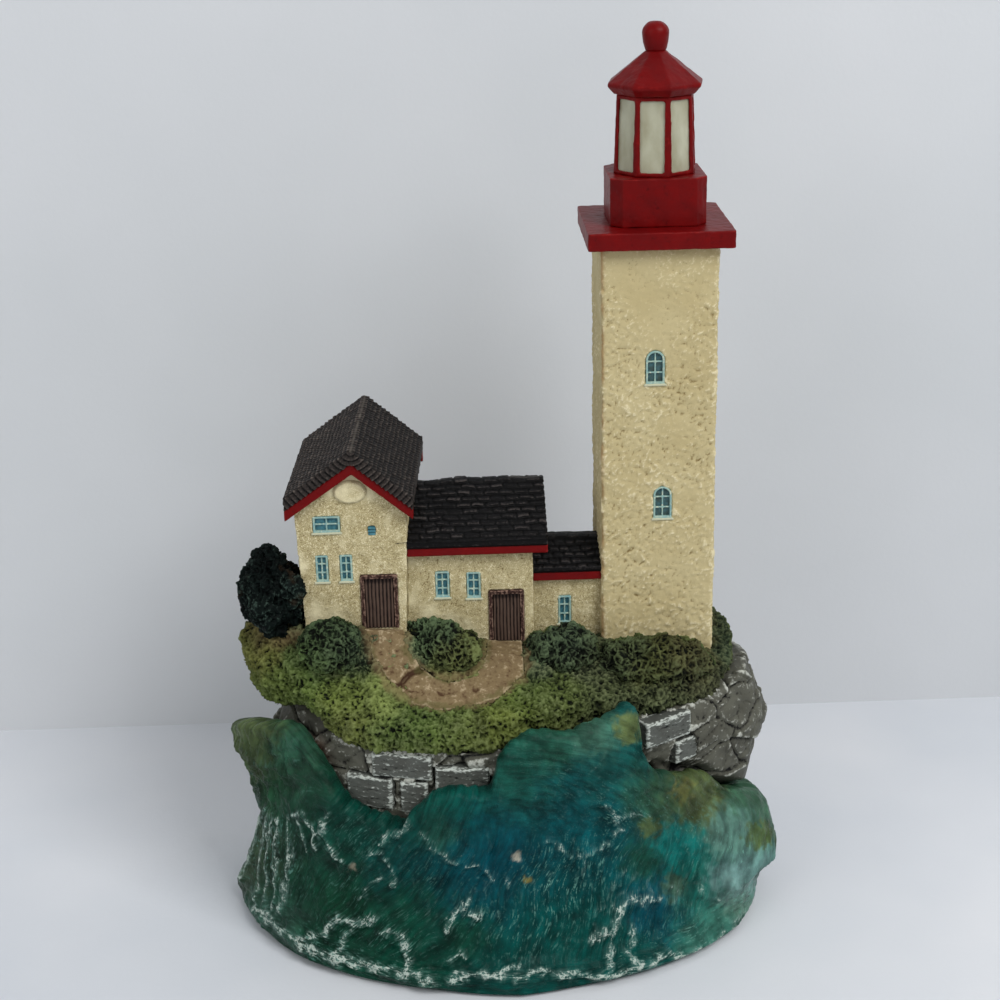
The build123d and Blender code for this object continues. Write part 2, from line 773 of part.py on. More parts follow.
def keeper_eaves(drop=0.0):
    """The gable's lines run out to the roof's eaves."""
    left, apex, right = keeper_gable(drop)
    left_slope = (apex[1] - left[1]) / (apex[0] - left[0])
    right_slope = (apex[1] - right[1]) / (right[0] - apex[0])
    return [
        (left[0] - keeper_left_eave_overhang, left[1] - keeper_left_eave_overhang * left_slope),
        apex,
        (right[0] + keeper_right_eave_overhang, right[1] - keeper_right_eave_overhang * right_slope),
    ]


def keeper_house():
    """Walls, roof and bargeboards of the left house, its plaster, door, windows and vent."""
    left, apex, right = keeper_gable()
    outline = [
        (left[0] + keeper_foot_taper, keeper_foot_height), left, apex, right,
        (right[0] - keeper_foot_taper, keeper_foot_height),
    ]
    walls = run_back(outline, keeper_front_y, keeper_depth)
    low_left, top, low_right = keeper_eaves()
    high_left = (low_left[0], low_left[1] + keeper_roof_thickness - shingle_lift)
    high_top = (top[0], top[1] + keeper_roof_thickness)
    high_right = (low_right[0], low_right[1] + keeper_roof_thickness - shingle_lift)
    up = stepped(high_left, high_top, keeper_courses, shingle_lift)
    down = stepped(high_right, high_top, keeper_courses, shingle_lift)[:-1]
    roof = run_back(
        [low_left, *up, *reversed(down), low_right, top],
        keeper_front_y - keeper_roof_overhang,
        keeper_depth + 2 * keeper_roof_overhang,
    )
    under = keeper_eaves(bargeboard_height)
    band = [low_left, top, low_right, under[2], under[1], under[0]]
    board = keeper_roof_overhang - bargeboard_setback
    boards = [
        run_back(band, keeper_front_y - board, board),
        run_back(band, keeper_front_y + keeper_depth, board),
    ]
    front = keeper_front_y

    def place(shares):
        return on_wall(shares, left[0], right[0], keeper_yard_height, right[1])

    wide = (keeper_wide_window_width, keeper_wall_height * keeper_wide_window_share)
    tall = (keeper_window_width, keeper_wall_height * keeper_window_share)
    door_height = keeper_wall_height * keeper_door_height_share
    windows = [
        Opening(*place(keeper_wide_window_place_share), *wide, front),
        Opening(*place(keeper_left_window_place_share), *tall, front, bars_across=2),
        Opening(*place(keeper_right_window_place_share), *tall, front, bars_across=2),
    ]
    frames, panes = glazing(windows)
    door_x, door_foot = place((keeper_door_share, 0))
    door_cut, leaf, door_frame = plank_door(door_x, door_foot, keeper_door_width, door_height, front)
    vent_opening = Opening(*place(keeper_vent_place_share), vent_width, vent_height, front)
    vent = slatted_vent(vent_opening)
    medallion = plaster_oval(*place(keeper_medallion_place_share), front)
    for cut in [*(w.cut() for w in windows), door_cut, vent_opening.cut()]:
        walls -= cut
    return {
        "keeper_walls": walls,
        "keeper_roof": roof,
        "keeper_bargeboards": group(boards),
        "keeper_medallion": medallion,
        "keeper_door": leaf,
        "keeper_door_frame": door_frame,
        "keeper_window_frames": group(frames),
        "keeper_window_panes": group(panes),
        "keeper_vent": vent,
    }


class EaveHouse:
    """A house whose eaves face the front and the back, with its ridge along X."""

    def __init__(self, front_y, depth, left_x, right_x, foot, wall_height, ridge_height, roof_thickness):
        self.front_y, self.depth = front_y, depth
        self.left_x, self.right_x = left_x, right_x
        self.foot, self.wall_height, self.ridge_height = foot, wall_height, ridge_height
        self.roof_thickness = roof_thickness

    def under(self, overhang=0.0, drop=0.0):
        """Front eave, ridge and back eave of the roof's underside."""
        ridge_y = self.front_y + self.depth / 2
        slope = (self.ridge_height - self.wall_height) / (self.depth / 2)
        eave = self.wall_height - overhang * slope - drop
        return [
            (self.front_y - overhang, eave),
            (ridge_y, self.ridge_height - drop),
            (self.front_y + self.depth + overhang, eave),
        ]

    def walls(self):
        front, ridge, back = self.under()
        outline = [(front[0], self.foot), front, ridge, back, (back[0], self.foot)]
        return prism(outline, facing_side(self.left_x), self.right_x - self.left_x)

    def roof(self, overhang, courses, gable_overhang):
        front, ridge, back = self.under(overhang)
        rise = self.roof_thickness
        top = (ridge[0], ridge[1] + rise)
        up = stepped((front[0], front[1] + rise - shingle_lift), top, courses, shingle_lift)
        down = stepped((back[0], back[1] + rise - shingle_lift), top, courses, shingle_lift)[:-1]
        outline = [front, *up, *reversed(down), back, ridge]
        return prism(outline, facing_side(self.left_x), self.right_x + gable_overhang - self.left_x)

    def fascias(self, overhang, gable_overhang):
        """Boards under the front and back eaves, and one under the gable's overhang."""
        reach = overhang - fascia_setback
        under = self.under(reach)
        low = self.under(reach)[0][1] - fascia_height
        wall = self.under()
        long = self.right_x + gable_overhang - self.left_x
        boards = []
        for eave, face in ((under[0], wall[0]), (under[2], wall[2])):
            outline = [(eave[0], low), eave, face, (face[0], low)]
            boards.append(prism(outline, facing_side(self.left_x), long))
        if gable_overhang > 0:
            drop = self.under(0, fascia_height)
            band = [wall[0], wall[1], wall[2], drop[2], drop[1], drop[0]]
            boards.append(prism(band, facing_side(self.right_x), gable_overhang - fascia_setback))
        return boards


def store_house(keeper):
    """The middle house, butted against the keeper's right wall."""
    start = keeper_right_eave_x - 2 * keeper_foot_taper
    house = EaveHouse(
        store_front_y, store_depth, start, store_right_x, store_foot_height,
        store_eave_height, store_ridge_height, store_roof_thickness,
    )
    walls = house.walls() - keeper["keeper_walls"]
    roof = house.roof(store_roof_overhang, store_courses, store_gable_overhang)
    roof = roof - keeper["keeper_walls"] - keeper["keeper_roof"]
    boards = house.fascias(store_roof_overhang, store_gable_overhang)
    boards = [board - keeper["keeper_walls"] for board in boards]

    def place(shares):
        return on_wall(shares, keeper_right_eave_x, store_right_x, store_yard_height, store_eave_height)

    size = (store_window_width, store_wall_rise * store_window_share)
    windows = [
        Opening(*place(shares), *size, store_front_y, bars_across=2)
        for shares in (store_left_window_place_share, store_right_window_place_share)
    ]
    frames, panes = glazing(windows)
    door_x, door_foot = place((store_door_share, 0))
    door_height = store_wall_rise * store_door_height_share
    door_cut, leaf, door_frame = plank_door(door_x, door_foot, store_door_width, door_height, store_front_y)
    for cut in [*(w.cut() for w in windows), door_cut]:
        walls -= cut
    return {
        "store_walls": walls,
        "store_roof": roof,
        "store_fascia": group(boards),
        "store_door": leaf,
        "store_door_frame": door_frame,
        "store_window_frames": group(frames),
        "store_window_panes": group(panes),
    }


def link_house():
    """The low house between the store and the tower."""
    tower_left = tower_x - tower_width / 2
    house = EaveHouse(
        link_front_y, link_depth, store_right_x, tower_left, link_foot_height,
        link_eave_height, link_ridge_height, link_roof_thickness,
    )
    walls = house.walls()
    place = on_wall(link_window_place_share, store_right_x, tower_left, link_yard_height, link_eave_height)
    height = link_wall_rise * link_window_share
    window = Opening(*place, link_window_width, height, link_front_y, bars_across=2)
    frames, panes = glazing([window])
    return {
        "link_walls": walls - window.cut(),
        "link_roof": house.roof(link_roof_overhang, link_courses, 0),
        "link_fascia": group(house.fascias(link_roof_overhang, 0)),
        "link_window_frame": group(frames),
        "link_window_pane": panes[0],
    }


def square_block(width, foot, height, edge):
    """A square block on the tower's axis with chamfered upright edges."""
    block = Box(width, width, height, align=(Align.CENTER, Align.CENTER, Align.MIN))
    block = Pos(tower_x, tower_y, foot) * block
    return chamfer(block.edges().filter_by(Axis.Z), edge)


def peg(radius, foot, length):
    """A peg or its socket on the tower's axis."""
    turned = Cylinder(radius, length, align=(Align.CENTER, Align.CENTER, Align.MIN))
    return Pos(tower_x, tower_y, foot) * turned


def tower():
    """The shaft in its socket, its two arched windows and the slab pegged into its top."""
    foot = rock_centre_height - socket_depth
    front = tower_y - tower_width / 2
    left = tower_x - tower_width / 2
    shaft = square_block(tower_width, foot, tower_top_height - foot, tower_edge_chamfer)
    size = (tower_window_width, tower_window_height)
    windows = []
    for shares in (tower_upper_window_place_share, tower_lower_window_place_share):
        place = on_wall(shares, left, left + tower_width, tower_yard_height, tower_top_height)
        windows.append(Opening(*place, *size, front, arched=True, bars_across=2))
    frames, panes = glazing(windows)
    for window in windows:
        shaft -= window.cut()
    socket = peg(slab_peg_radius + peg_clearance, tower_top_height - slab_peg_length - peg_clearance,
                 slab_peg_length + peg_clearance)
    slab = square_block(slab_width, tower_top_height, slab_thickness, slab_edge_chamfer)
    slab += peg(slab_peg_radius, tower_top_height - slab_peg_length, slab_peg_length)
    return {
        "tower_shaft": shaft - socket,
        "tower_window_frames": group(frames),
        "tower_window_panes": group(panes),
        "gallery_slab": slab,
    }


def sided_ring(radius, height, sides=lantern_sides):
    """Corners of the lantern's outline at a height."""
    step = 360 / sides
    return [
        (
            tower_x + radius * cos(radians(lantern_turn + step * (i + 0.5))),
            tower_y + radius * sin(radians(lantern_turn + step * (i + 0.5))),
            height,
        )
        for i in range(sides)
    ]


def lantern():
    """Pedestal, glass, cage, cap and finial, each seated on the one below."""
    foot = tower_top_height + slab_thickness
    sill = foot + pedestal_height
    head = sill + lantern_height
    pedestal = square_block(pedestal_width, foot, pedestal_height, pedestal_chamfer)
    glass_foot = lantern_foot_radius - cage_thickness
    glass_head = lantern_head_radius - cage_thickness
    glass = faceted([sided_ring(glass_foot, sill), sided_ring(glass_head, head)])
    cage = faceted([sided_ring(lantern_foot_radius, sill), sided_ring(lantern_head_radius, head)])
    cage = cage - glass
    side = 2 * lantern_head_radius * sin(pi / lantern_sides)
    opening_width = side - bar_width
    opening_height = lantern_height - cage_foot_band - cage_head_band
    step = 360 / lantern_sides
    for i in range(lantern_sides):
        opening = Box(
            lantern_foot_radius, opening_width, opening_height, align=(Align.MIN, Align.CENTER, Align.MIN)
        )
        opening = Pos(lantern_head_radius / 2, 0, sill + cage_foot_band) * opening
        cage -= Pos(tower_x, tower_y, 0) * Rot(0, 0, lantern_turn + step * i) * opening
    socket_foot = head - small_peg_length - peg_clearance
    glass -= peg(small_peg_radius + peg_clearance, socket_foot, small_peg_length + peg_clearance)
    rim = head + cap_skirt_height
    neck = rim + cap_rim_thickness + cap_slope_height
    cap = faceted([
        sided_ring(cap_skirt_radius, head),
        sided_ring(cap_rim_radius, rim),
        sided_ring(cap_rim_radius, rim + cap_rim_thickness),
        sided_ring(cap_neck_radius, neck),
    ])
    cap += peg(small_peg_radius, head - small_peg_length, small_peg_length)
    cap -= peg(small_peg_radius + peg_clearance, neck - small_peg_length - peg_clearance,
               small_peg_length + peg_clearance + overrun)
    return {
        "lantern_pedestal": pedestal,
        "lantern_glazing": glass,
        "lantern_bars": cage,
        "lantern_roof": cap,
        "lantern_finial": finial(neck),
    }


def finial(foot):
    """The turned knob on the cap, with a peg in the cap's neck. It is drawn from the peg's shoulder."""
    outline = Polyline(
        (0, -small_peg_length), (small_peg_radius, -small_peg_length), (small_peg_radius, 0),
        (finial_neck_radius, 0),
    )
    knob = (finial_knob_radius, finial_knob_height)
    neck = TangentArc(knob, (finial_neck_radius, 0), tangent=(0, -1))
    rise = finial_height - finial_knob_height
    shoulder = (finial_knob_radius * cos(pi / 4), finial_knob_height + rise * sin(pi / 4))
    crown = ThreePointArc(knob, shoulder, (finial_tip_radius, finial_height))
    spine = Polyline((finial_tip_radius, finial_height), (0, finial_height), (0, -small_peg_length))
    profile = make_face([outline.edges(), neck.edges(), crown.edges(), spine.edges()])
    upright = Plane(origin=(tower_x, tower_y, foot), x_dir=(1, 0, 0), z_dir=(0, -1, 0))
    return revolve(upright * profile, Axis((tower_x, tower_y, 0), (0, 0, 1)))


def tree():
    """The dark tree and its stem, which is planted in the turf."""
    half = tree_height / 2
    centre = (tree_x, tree_y, tree_foot_height + half)
    crown = lump(centre, (tree_radius, tree_radius, half), crown_leaf_share, rows=6, count=12, lumps=5)
    stem = Pos(tree_x, tree_y, tree_foot_height - tree_stem_depth) * Cylinder(
        tree_stem_radius, half, align=(Align.CENTER, Align.CENTER, Align.MIN)
    )
    return crown, stem


def bushes():
    """The leafy mounds in front of the houses, before they are trimmed to the ground."""
    found = {}
    for name, share_x, share_y, share_z, long, deep, tall, turn in bush_shares:
        centre = (
            turf_left_half_length * share_x,
            turf_front_half_depth * share_y,
            rock_centre_height + turf_rise * share_z,
        )
        sizes = (tree_radius * long, tree_radius * deep, tree_radius * tall)
        found[name] = lump(centre, sizes, leaf_share, turn)
    return found


def largest(shape):
    """The biggest solid of a shape that a cut has left in pieces."""
    return shape.solids().sort_by(SortBy.VOLUME)[-1]


def island(buildings):
    """Rock, quay stones, turf, path and planting, each let into the one below and round the walls."""
    stones = quay(front_stone_shares, 1), quay(right_stone_shares, right_quay_share)
    rock = island_rock()
    for stone in [*stones[0], *stones[1]]:
        rock -= stone
    room = tower_width + 2 * socket_clearance
    foot = rock_centre_height - socket_depth
    socket = Pos(tower_x, tower_y, foot) * Box(
        room, room, tower_top_height - foot, align=(Align.CENTER, Align.CENTER, Align.MIN)
    )
    rock = largest(rock - socket)
    crown, stem = tree()
    turf = turf_body() - stem - socket
    lawn = turf_body()
    wide = keeper_right_eave_x - keeper_left_eave_x
    door_x = keeper_left_eave_x + wide * keeper_door_share - keeper_door_width / 2
    path = path_prism(door_x, keeper_front_y) & lawn
    path = path - Pos(0, 0, -path_thickness) * lawn
    fixed = [
        "keeper_walls", "keeper_door", "keeper_door_frame", "store_walls", "store_door", "store_door_frame",
        "link_walls",
    ]
    for name in fixed:
        turf -= buildings[name]
        path -= buildings[name]
    path = largest(path)
    turf = largest(turf - path)
    plants = {"shrub_tree": (crown - turf) + stem}
    plants.update(bushes())
    plants["hedge_tower"] -= plants["hedge_link"]
    for name in plants:
        for other in [*fixed, "tower_shaft", "keeper_roof", "keeper_bargeboards"]:
            plants[name] -= buildings[other]
        plants[name] -= path
        if name != "shrub_tree":
            plants[name] = largest(plants[name] - turf)
    return {
        "island_rock": rock,
        "quay_stones_front": group(stones[0]),
        "quay_stones_right": group(stones[1]),
        "turf_cap": turf,
        "sand_path": path,
        **plants,
    }


def felt():
    """The felt under the foot."""
    outline = Ellipse(foot_half_length - felt_margin, foot_half_depth - felt_margin)
    return extrude(outline, amount=felt_thickness)


def main():
    os.makedirs("parts", exist_ok=True)
    keeper = keeper_house()
    store = store_house(keeper)
    nodes = {**keeper, **store, **link_house(), **tower(), **lantern()}
    nodes.update(island(nodes))
    nodes["sea_casting"] = sea_casting()
    nodes["base_felt"] = felt()
    for node, shape in nodes.items():
        save(shape, node)


main()
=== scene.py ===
"""Lighthouse figurine: detailed castings and hand-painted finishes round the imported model.

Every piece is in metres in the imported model's frame. Sizes in the classes are millimetres.
"""

from __future__ import annotations

import json
import logging
import math
from dataclasses import dataclass, field
from enum import Enum
from typing import Any, Callable, Sequence

import bmesh
import bpy
import numpy as np
from mathutils import Matrix, Vector
from mathutils.bvhtree import BVHTree

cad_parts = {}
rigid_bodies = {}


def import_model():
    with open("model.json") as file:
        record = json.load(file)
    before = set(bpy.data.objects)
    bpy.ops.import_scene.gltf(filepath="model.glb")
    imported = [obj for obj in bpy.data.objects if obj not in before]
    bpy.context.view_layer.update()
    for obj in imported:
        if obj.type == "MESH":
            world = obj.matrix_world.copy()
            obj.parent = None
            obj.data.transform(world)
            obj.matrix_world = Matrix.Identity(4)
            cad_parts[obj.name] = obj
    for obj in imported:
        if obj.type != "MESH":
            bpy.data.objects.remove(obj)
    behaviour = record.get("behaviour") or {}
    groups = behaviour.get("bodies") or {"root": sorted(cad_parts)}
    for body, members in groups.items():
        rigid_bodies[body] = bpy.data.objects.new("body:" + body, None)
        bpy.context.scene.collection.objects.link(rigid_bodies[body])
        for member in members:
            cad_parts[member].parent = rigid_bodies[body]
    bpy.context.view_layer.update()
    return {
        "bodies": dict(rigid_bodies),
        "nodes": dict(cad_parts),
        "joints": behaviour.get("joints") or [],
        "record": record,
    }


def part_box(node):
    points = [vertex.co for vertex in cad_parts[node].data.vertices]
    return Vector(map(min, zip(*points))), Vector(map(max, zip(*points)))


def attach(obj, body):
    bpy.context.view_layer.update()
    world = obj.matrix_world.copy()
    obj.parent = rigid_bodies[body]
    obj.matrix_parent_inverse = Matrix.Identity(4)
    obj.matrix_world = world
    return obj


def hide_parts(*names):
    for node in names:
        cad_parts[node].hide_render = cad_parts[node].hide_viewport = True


LOG = logging.getLogger("lighthouse")
MM = 0.001
Colour = tuple[float, float, float]
Array = np.ndarray


def paint_colour(red: int, green: int, blue: int) -> Colour:
    """A display colour of 0 to 255 a channel, as the linear colour that a shader takes."""

    def linear(value: int) -> float:
        share = value / 255
        return share / 12.92 if share <= 0.04045 else ((share + 0.055) / 1.055) ** 2.4

    return (linear(red), linear(green), linear(blue))


def ease(values: Array, low: float, high: float) -> Array:
    """Smooth step from 0 at low to 1 at high."""
    share = np.clip((values - low) / (high - low), 0.0, 1.0)
    return share * share * (3 - 2 * share)


class Grain:
    """Seeded gradient noise and cell noise for arrays of points."""

    def __init__(self, seed: int) -> None:
        """Args:
        seed: picks the shuffle, so each run gives the same grain.
        """
        rng = np.random.default_rng(seed)
        self.shuffle = rng.permutation(256)
        directions = rng.normal(size=(256, 3))
        self.slopes = directions / np.linalg.norm(directions, axis=1, keepdims=True)
        self.scatter = rng.random((256, 3))

    def _cell(self, cell: Array) -> Array:
        """A number from 0 to 255 for each cell of whole coordinates."""
        row = self.shuffle[cell[..., 0] & 255]
        row = self.shuffle[(row + cell[..., 1]) & 255]
        return self.shuffle[(row + cell[..., 2]) & 255]

    def smooth(self, points: Array, size: float | Sequence[float]) -> Array:
        """Gradient noise of about -1 to 1.

        Args:
            points: places in millimetres.
            size: feature size, or one for each axis, in millimetres.

        Returns:
            One value a point.
        """
        spot = points / np.asarray(size, float)
        base = np.floor(spot).astype(np.int64)
        local = spot - base
        fade = local**3 * (local * (local * 6 - 15) + 10)
        total = np.zeros(len(points))
        for corner in np.ndindex(2, 2, 2):
            step = np.array(corner)
            slope = self.slopes[self._cell(base + step)]
            weight = np.where(step == 1, fade, 1 - fade).prod(axis=1)
            total += weight * ((local - step) * slope).sum(axis=1)
        return total * 1.7

    def layered(self, points: Array, size: float | Sequence[float], layers: int = 3, fall: float = 0.5) -> Array:
        """Several sizes of gradient noise added up, each half the size of the one before."""
        scale = np.asarray(size, float)
        total = np.zeros(len(points))
        weight, sum_of_weights = 1.0, 0.0
        for layer in range(layers):
            total += weight * self.smooth(points + 17.3 * layer, scale / 2**layer)
            sum_of_weights += weight
            weight *= fall
        return total / sum_of_weights

    def ridged(self, points: Array, size: float | Sequence[float], layers: int = 2) -> Array:
        """Layered noise folded into sharp ridges: 1 on a ridge, falling to 0."""
        scale = np.asarray(size, float)
        total = np.zeros(len(points))
        for layer in range(layers):
            total += (1 - np.abs(self.smooth(points + 31.7 * layer, scale / 2**layer))) / 2**layer
        return total / sum(1 / 2**layer for layer in range(layers))

    def cells(self, points: Array, size: float | Sequence[float]) -> tuple[Array, Array, Array]:
        """Distances to the nearest and next scattered point, and the nearest one's own number.

        Args:
            points: places in millimetres.
            size: spacing of the scattered points, or one for each axis.

        Returns:
            Both distances in spacings, and a number from 0 to 1 for each cell.
        """
        spot = points / np.asarray(size, float)
        base = np.floor(spot).astype(np.int64)
        near = np.full(len(points), 9.0)
        after = np.full(len(points), 9.0)
        owner = np.zeros(len(points))
        for step in np.ndindex(3, 3, 3):
            cell = base + np.array(step) - 1
            key = self._cell(cell)
            away = np.linalg.norm(cell + self.scatter[key] - spot, axis=1)
            closer = away < near
            after = np.where(closer, near, np.minimum(after, away))
            owner = np.where(closer, key / 255, owner)
            near = np.where(closer, away, near)
        return near, after, owner


GRAIN = Grain(seed=7)


@dataclass(frozen=True)
class PhotoEye:
    """Where the photograph was taken from, in the model's frame."""

    place: tuple[float, float, float] = (-6.77, -400.41, 251.19)
    heading: float = 1.454188
    dip: float = 20.270861
    roll: float = 1.292841
    focal_pixels: float = 1843.843
    half_frame: float = 500.0
    sensor: float = 36.0

    def axes(self) -> tuple[Vector, Vector, Vector]:
        """Right, up and forward of the level camera, before its roll."""
        heading, dip = math.radians(self.heading), math.radians(self.dip)
        forward = Vector((math.sin(heading) * math.cos(dip), math.cos(heading) * math.cos(dip), -math.sin(dip)))
        right = Vector((math.cos(heading), -math.sin(heading), 0.0))
        return right, right.cross(forward), forward

    def pixels(self, points: Array) -> Array:
        """Pixel of each point in the 1000 by 1000 photograph.

        Args:
            points: places in millimetres.

        Returns:
            Across and down, one row a point.
        """
        right, up, forward = (np.array(axis) for axis in self.axes())
        away = points - np.array(self.place)
        depth = away @ forward
        across = self.focal_pixels * (away @ right) / depth
        down = -self.focal_pixels * (away @ up) / depth
        turn = math.radians(self.roll)
        return np.stack(
            (
                self.half_frame + math.cos(turn) * across + math.sin(turn) * down,
                self.half_frame - math.sin(turn) * across + math.cos(turn) * down,
            ),
            axis=1,
        )

    def camera(self) -> bpy.types.Object:
        """The camera object at this place."""
        right, up, forward = self.axes()
        turn = math.radians(self.roll)
        across = right * math.cos(turn) - up * math.sin(turn)
        above = right * math.sin(turn) + up * math.cos(turn)
        lens = bpy.data.cameras.new("photo_camera")
        lens.sensor_width = self.sensor
        lens.lens = self.focal_pixels / (2 * self.half_frame) * self.sensor
        lens.clip_start, lens.clip_end = 0.01, 20.0
        eye = bpy.data.objects.new("photo_camera", lens)
        turned = Matrix((across, above, -forward)).transposed().to_4x4()
        eye.matrix_world = Matrix.Translation(Vector(self.place) * MM) @ turned
        bpy.context.collection.objects.link(eye)
        return eye


EYE = PhotoEye()


def near_line(pixels: Array, line: Sequence[tuple[float, float]]) -> Array:
    """Distance in pixels from each point to a line of pixels."""
    best = np.full(len(pixels), 1e9)
    for start, end in zip(line, line[1:]):
        a, b = np.array(start, float), np.array(end, float)
        run = b - a
        share = np.clip(((pixels - a) @ run) / (run @ run), 0.0, 1.0)
        best = np.minimum(best, np.linalg.norm(pixels - a - share[:, None] * run, axis=1))
    return best


class Bench:
    """A material's node bench: short calls that add shader nodes and join them."""

    def __init__(self, name: str, roughness: float) -> None:
        """Args:
        name: the material's name.
        roughness: the shader's own roughness.
        """
        self.material = bpy.data.materials.new(name)
        self.material.use_nodes = True
        self.nodes = self.material.node_tree.nodes
        self.links = self.material.node_tree.links
        self.shader = self.nodes["Principled BSDF"]
        self.shader.inputs["Roughness"].default_value = roughness
        self.place = self.nodes.new("ShaderNodeTexCoord").outputs["Object"]

    def _join(self, value: Any, socket: Any) -> None:
        """Links a socket, or sets a number or colour, on an input."""
        if isinstance(value, bpy.types.NodeSocket):
            self.links.new(value, socket)
        elif isinstance(value, tuple) and socket.type == "RGBA":
            socket.default_value = (*value, 1.0)
        else:
            socket.default_value = value

    def channel(self, name: str) -> Any:
        """A painted number of the mesh."""
        node = self.nodes.new("ShaderNodeAttribute")
        node.attribute_name = name
        return node.outputs["Fac"]

    def tint(self, name: str) -> Any:
        """A painted colour of the mesh."""
        node = self.nodes.new("ShaderNodeAttribute")
        node.attribute_name = name
        return node.outputs["Color"]

    def noise(self, size: float, detail: float = 3.0, stretch: Sequence[float] = (1, 1, 1), place: Any = None) -> Any:
        """Noise of 0 to 1 with features of a size in millimetres."""
        mapping = self.nodes.new("ShaderNodeMapping")
        mapping.inputs["Scale"].default_value = tuple(1 / s for s in stretch)
        self.links.new(place or self.place, mapping.inputs["Vector"])
        node = self.nodes.new("ShaderNodeTexNoise")
        node.inputs["Scale"].default_value = 1 / (size * MM)
        node.inputs["Detail"].default_value = detail
        self.links.new(mapping.outputs["Vector"], node.inputs["Vector"])
        return node.outputs["Fac"]

    def levels(self, value: Any, low: float, high: float, start: float = 0.0, end: float = 1.0) -> Any:
        """A value stretched from low and high to start and end, and held there."""
        node = self.nodes.new("ShaderNodeMapRange")
        self._join(value, node.inputs["Value"])
        node.inputs["From Min"].default_value = low
        node.inputs["From Max"].default_value = high
        node.inputs["To Min"].default_value = start
        node.inputs["To Max"].default_value = end
        return node.outputs["Result"]

    def sum(self, first: Any, second: Any, kind: str = "ADD") -> Any:
        """Two values through one sum."""
        node = self.nodes.new("ShaderNodeMath")
        node.operation = kind
        self._join(first, node.inputs[0])
        self._join(second, node.inputs[1])
        return node.outputs[0]

    def mix(self, share: Any, low: Any, high: Any, kind: str = "MIX") -> Any:
        """A colour between two, by a share."""
        node = self.nodes.new("ShaderNodeMix")
        node.data_type = "RGBA"
        node.blend_type = kind
        self._join(share, node.inputs[0])
        self._join(low, node.inputs[6])
        self._join(high, node.inputs[7])
        return node.outputs[2]

    def ramp(self, value: Any, stops: Sequence[tuple[float, Colour]]) -> Any:
        """A colour from a row of places and colours."""
        node = self.nodes.new("ShaderNodeValToRGB")
        while len(node.color_ramp.elements) < len(stops):
            node.color_ramp.elements.new(0.5)
        for element, (place, colour) in zip(node.color_ramp.elements, stops):
            element.position = place
            element.color = (*colour, 1.0)
        self._join(value, node.inputs["Fac"])
        return node.outputs["Color"]

    def grain(self, height: Any, depth: float) -> None:
        """Fine grain of a depth in millimetres, too small for the mesh."""
        node = self.nodes.new("ShaderNodeBump")
        node.inputs["Distance"].default_value = depth * MM
        self._join(height, node.inputs["Height"])
        self.links.new(node.outputs["Normal"], self.shader.inputs["Normal"])

    def set(self, **values: Any) -> None:
        """Sets or links the shader's inputs, with _ for a space in a name."""
        for name, value in values.items():
            self._join(value, self.shader.inputs[name.replace("_", " ")])


@dataclass(frozen=True)
class BrushedPaint:
    """A painted casting: a wash in its pits, a body colour, and a dry brush over its ridges."""

    name: str
    wash: Colour
    body: Colour
    brush: Colour
    drift: Colour
    stain_and_shade: Colour = (0.05, 0.03, 0.02)
    accent: Colour = (0.8, 0.8, 0.8)
    wash_level: float = 0.3
    brush_level: float = 0.75
    drift_size: float = 7.0
    drift_share: float = 0.6
    speckle_size: float = 0.5
    speckle: float = 0.25
    grain_depth: float = 0.05
    roughness: float = 0.7
    gloss: float = 0.2
    strokes: tuple[float, float, float] = (1.0, 1.0, 1.0)

    def material(self) -> bpy.types.Material:
        """The finish as a material."""
        bench = Bench(self.name, self.roughness)
        fine = bench.noise(self.speckle_size, 4, self.strokes)
        slow = bench.levels(bench.noise(self.drift_size, 3), 0.38, 0.66, 0.0, self.drift_share)
        body = bench.mix(slow, self.body, self.drift)
        offset = bench.levels(fine, 0.25, 0.75, -self.speckle, self.speckle)
        relief = bench.sum(bench.channel("relief"), offset)
        washed = bench.levels(relief, self.wash_level - 0.22, self.wash_level + 0.12)
        colour = bench.mix(washed, self.wash, body)
        brushed = bench.levels(relief, self.brush_level - 0.12, self.brush_level + 0.15)
        colour = bench.mix(brushed, colour, self.brush)
        # Stain channel: real stains and joints, plus painted shade where a piece puts it: under the eaves, under the
        # gallery slab and at a door's top.
        colour = bench.mix(bench.channel("stain_and_shade"), colour, self.stain_and_shade)
        colour = bench.mix(bench.channel("accent"), colour, self.accent)
        bench.set(Base_Color=colour, Specular_IOR_Level=self.gloss)
        bench.grain(fine, self.grain_depth)
        return bench.material


